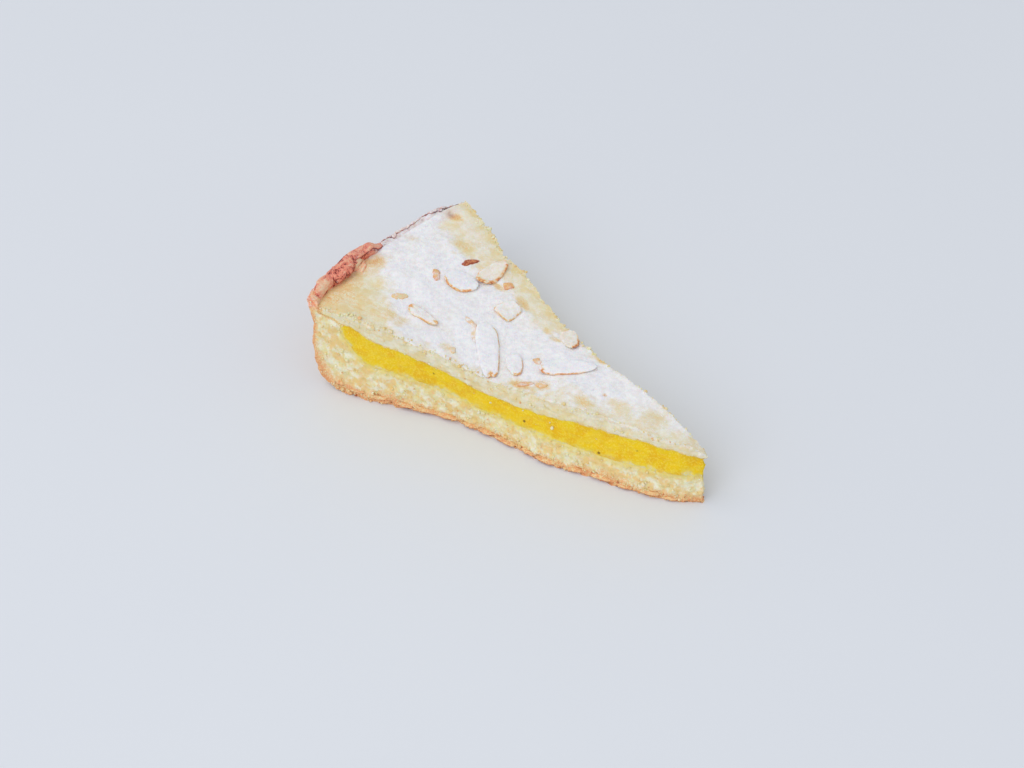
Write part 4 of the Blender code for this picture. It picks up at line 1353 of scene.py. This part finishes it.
def make_ledges(material):
    """Small broken ledges of crust that stand out along the foot of the near cut."""
    parts = []
    for order, (ledge_reach, height, length, thick, stick_out) in enumerate(LEDGES):
        ball, faces = ball_of(*LEDGE_STEPS)
        seed = LEDGE_SEED + 3 * order
        lump = 1 + 0.35 * sway(ball, 0.8, seed) + 0.25 * sway(ball, 0.3, seed + 1)
        along = ledge_reach * MM + ball[:, 0] * lump * length / 2 * MM
        up = np.maximum((height + ball[:, 2] * lump * thick / 2) * MM, 0.05 * MM)
        points = bow_and_sink(along, np.full(len(along), -1.0), up)
        outward = np.array((-math.sin(HALF_ANGLE), -math.cos(HALF_ANGLE), 0.0))
        points += outward * (ball[:, 1] * lump * stick_out * MM)[:, None]
        points[:, 2] = np.maximum(points[:, 2], 0.03 * MM)
        mottled = sway(points, 0.9 * MM, seed + 2)
        values = plain_values(
            len(points), -0.4, np.clip(0.55 + 0.4 * mottled + 0.3 * (ball[:, 2] < -0.2), 0.1, 1.15))
        parts.append((points, faces, values))
    data = joined_mesh("crust_ledges", parts)
    return finished_piece("crust_ledges", data, material, "base_pastry")


# Scattered sugar and crumbs

def triangles_of(piece):
    """Corners, upward lean, area and middle of every triangle of a piece."""
    data = piece.data
    data.calc_loop_triangles()
    corners = np.empty(len(data.loop_triangles) * 3, dtype=np.int32)
    data.loop_triangles.foreach_get("vertices", corners)
    corners = corners.reshape(-1, 3)
    points = points_of(data)[corners]
    normal = np.cross(points[:, 1] - points[:, 0], points[:, 2] - points[:, 0])
    double_area = np.linalg.norm(normal, axis=1)
    return corners, points, normal / np.maximum(double_area, 1e-15)[:, None], double_area / 2


def value_of(piece, name, corners):
    values = np.empty(len(piece.data.vertices), dtype=np.float32)
    piece.data.attributes[name].data.foreach_get("value", values)
    return values[corners].mean(axis=1)


def scattered_spots(rng, count, points, normal, weight):
    """Draw spots on the triangles, more where the weight is high."""
    chosen = rng.choice(len(points), size=count, p=weight / weight.sum())
    first, second = rng.random(count), rng.random(count)
    fold = first + second > 1
    first = np.where(fold, 1 - first, first)[:, None]
    second = np.where(fold, 1 - second, second)[:, None]
    corner = points[chosen]
    start = corner[:, 0]
    spots = start + first * (corner[:, 1] - start) + second * (corner[:, 2] - start)
    return spots, normal[chosen]


def scattered_bits(rng, shape_points, shape_faces, spots, normal, radius, sink):
    """Set one uneven, turned copy of a small shape on every spot."""
    count = len(spots)
    axis = rng.normal(size=(count, 4))
    axis /= np.linalg.norm(axis, axis=1)[:, None]
    w, x, y, z = axis.T
    turns = np.stack((
        np.stack((1 - 2 * (y * y + z * z), 2 * (x * y - z * w), 2 * (x * z + y * w)), axis=1),
        np.stack((2 * (x * y + z * w), 1 - 2 * (x * x + z * z), 2 * (y * z - x * w)), axis=1),
        np.stack((2 * (x * z - y * w), 2 * (y * z + x * w), 1 - 2 * (x * x + y * y)), axis=1),
    ), axis=1)
    squash = rng.uniform(0.6, 1.3, size=(count, 1, 3))
    lumps = rng.uniform(0.8, 1.2, size=(count, len(shape_points), 1))
    local = shape_points[None] * squash * lumps * radius[:, None, None]
    placed = np.einsum("nij,nkj->nki", turns, local)
    placed += (spots + normal * (radius * (1 - sink))[:, None])[:, None]
    faces = shape_faces[None] + (np.arange(count) * len(shape_points))[:, None, None]
    return placed.reshape(-1, 3), faces.reshape(-1, 3)


def small_shape(make):
    """Points and faces of a small shape that a bmesh operator makes."""
    bit = bmesh.new()
    make(bit)
    bmesh.ops.triangulate(bit, faces=bit.faces)
    bmesh.ops.recalc_face_normals(bit, faces=bit.faces)
    points = np.array([tuple(vertex.co) for vertex in bit.verts])
    faces = [[corner.index for corner in face.verts] for face in bit.faces]
    bit.free()
    points, faces = in_fixed_order(points, faces)
    return points, np.array(faces)


# How many there are, their middle size, spread and limits in mm, and how deep they sink in
SUGAR_CLUMPS = 15000
CLUMP_SIZES = (0.085, 0.4, (0.04, 0.22))
CLUMP_SINK = 0.45
CLUMP_SEED = 17
CRUMBS = 2200
CRUMB_SIZES = (0.24, 0.42, (0.12, 0.75))
CRUMB_SINK = 0.6
CRUMB_SEED = 29


def bit_sizes(rng, count, middle, spread, limits):
    """Sizes of scattered bits, most of them near a middle size given in mm."""
    return MM * np.clip(rng.lognormal(math.log(middle), spread, count), *limits)


def make_sugar(material, lid, almonds, base):
    """Loose clumps of sugar on the lid, on the almonds and along the far half of the rim."""
    rng = np.random.default_rng(CLUMP_SEED)
    gathered = []
    for piece, share in [(lid, 1.0), (base, 0.8)] + [(almond, 0.8) for almond in almonds]:
        corners, points, normal, area = triangles_of(piece)
        cover = np.clip(value_of(piece, "sugar", corners), 0.0, 1.0)
        weight = area * share * (normal[:, 2] > 0.35) * (cover ** 1.3 + 0.012 * (cover > 0.02))
        gathered.append((points, normal, weight))
    points, normal, weight = (np.concatenate(column) for column in zip(*gathered))
    spots, lean = scattered_spots(rng, SUGAR_CLUMPS, points, normal, weight)
    radius = bit_sizes(rng, SUGAR_CLUMPS, *CLUMP_SIZES)
    shape = small_shape(
        lambda bit: bmesh.ops.create_uvsphere(bit, u_segments=4, v_segments=2, radius=1.0))
    bits, faces = scattered_bits(rng, *shape, spots, lean, radius, CLUMP_SINK)
    data = bpy.data.meshes.new("powdered_sugar")
    data.from_pydata(bits.tolist(), [], faces.tolist())
    return finished_piece("powdered_sugar", data, material, "lid_pastry", sharp=20.0)


def make_crumbs(material, base, lid, custard):
    """Crumbs that cling to the cuts, thickest along the bottom crust and the lid's edge."""
    rng = np.random.default_rng(CRUMB_SEED)
    gathered = []
    for piece, share in [(base, 1.0), (lid, 0.75), (custard, 0.06)]:
        corners, points, normal, area = triangles_of(piece)
        on_cut = (np.abs(normal[:, 2]) < 0.6) & (np.hypot(normal[:, 0], normal[:, 1]) > 0.5)
        on_cut &= np.abs(normal[:, 1]) > 0.5
        low = np.exp(-points.mean(axis=1)[:, 2] / (2.0 * MM))
        weight = area * share * on_cut * (0.2 + 2.2 * low)
        if piece is lid:
            weight += area * 1.3 * value_of(lid, "brink", corners)
        gathered.append((points, normal, weight))
    points, normal, weight = (np.concatenate(column) for column in zip(*gathered))
    spots, lean = scattered_spots(rng, CRUMBS, points, normal, weight)
    radius = bit_sizes(rng, CRUMBS, *CRUMB_SIZES)
    spots[:, 2] = np.maximum(spots[:, 2], radius * 0.9)
    shape = small_shape(
        lambda bit: bmesh.ops.create_icosphere(bit, subdivisions=1, radius=1.0))
    bits, faces = scattered_bits(rng, *shape, spots, lean, radius, CRUMB_SINK)
    bits[:, 2] = np.maximum(bits[:, 2], FLOOR_GAP)
    data = bpy.data.meshes.new("pastry_crumbs")
    data.from_pydata(bits.tolist(), [], faces.tolist())
    corners_each = len(shape[0])
    low = np.exp(-np.repeat(spots[:, 2], corners_each) / (2.2 * MM))
    luck = np.repeat(rng.random(CRUMBS), corners_each)
    toast = np.clip(low * (0.35 + 0.65 * luck) + 0.5 * (luck > 0.93), 0.0, 1.0)
    for name, values in plain_values(len(toast), -0.5, toast).items():
        keep(data, name, values)
    return finished_piece("pastry_crumbs", data, material, "base_pastry", sharp=180.0)


# Floor, light and camera

CAMERA_PLACE = Vector((0.39446, -0.49410, 0.58210))
CAMERA_AIM = Vector((-0.01215, 0.00267, 0.0))
CAMERA_LENS = 98.4
SENSOR = 36.0
FLOOR_REACH = 4.0
SKY_STRENGTH = 0.63
SOFTBOX_SIZE = 1.6
SOFTBOXES = {
    "left_softbox": ((-0.8, -0.65, 2.4), 10.0, (1.0, 0.99, 0.975)),
    "front_softbox": ((0.25, -1.6, 1.35), 12.0, (1.0, 0.995, 0.985)),
}


def make_stage():
    floor_mesh = bmesh.new()
    bmesh.ops.create_grid(floor_mesh, x_segments=1, y_segments=1, size=FLOOR_REACH)
    data = bpy.data.meshes.new("floor")
    floor_mesh.to_mesh(data)
    floor_mesh.free()
    material, tree, shader = new_material("floor", Roughness=0.7, Specular_IOR_Level=0.2)
    place = add_node(tree, "ShaderNodeTexCoord").outputs["Object"]
    cloud = add_node(tree, "ShaderNodeTexNoise", {"Vector": place, "Scale": 6.0})
    set_socket(tree, shader.inputs["Base Color"], blend_tones(
        tree, cloud.outputs["Fac"], tone(226, 230, 238), tone(229, 233, 240)))
    data.materials.append(material)
    floor = bpy.data.objects.new("floor", data)
    bpy.context.scene.collection.objects.link(floor)


def aim(thing, target):
    thing.rotation_euler = (target - thing.location).to_track_quat("-Z", "Y").to_euler()


def add_softbox(name, place, power, colour):
    light = bpy.data.lights.new(name, "AREA")
    light.shape = "DISK"
    light.size = SOFTBOX_SIZE
    light.energy = power
    light.color = colour
    box = bpy.data.objects.new(name, light)
    box.location = place
    bpy.context.scene.collection.objects.link(box)
    aim(box, Vector((0, 0, 0.01)))


def make_light():
    world = bpy.data.worlds.new("studio")
    world.use_nodes = True
    sky = world.node_tree.nodes["Background"]
    sky.inputs["Color"].default_value = (0.955, 0.975, 1.0, 1.0)
    sky.inputs["Strength"].default_value = SKY_STRENGTH
    bpy.context.scene.world = world
    for name, facts in SOFTBOXES.items():
        add_softbox(name, *facts)


def make_camera():
    lens = bpy.data.cameras.new("camera")
    lens.lens = CAMERA_LENS
    lens.sensor_width = SENSOR
    lens.clip_start = 0.01
    camera = bpy.data.objects.new("camera", lens)
    camera.location = CAMERA_PLACE
    bpy.context.scene.collection.objects.link(camera)
    aim(camera, CAMERA_AIM)
    bpy.context.scene.camera = camera
    bpy.context.scene.view_settings.view_transform = "Standard"


crest = crest_map()
base = make_base(crest)
shortcrust = base.data.materials[0]
custard = make_custard()
lid, ground = make_lid(crest)
make_rim_folds(crest, shortcrust)
make_ledges(shortcrust)
flaked_almond = almond_material()
almonds = make_almonds(ground, flaked_almond)
make_chips(ground, flaked_almond)
make_sugar(sugar_material(), lid, almonds, base)
make_crumbs(shortcrust, base, lid, custard)
make_stage()
make_light()
make_camera()
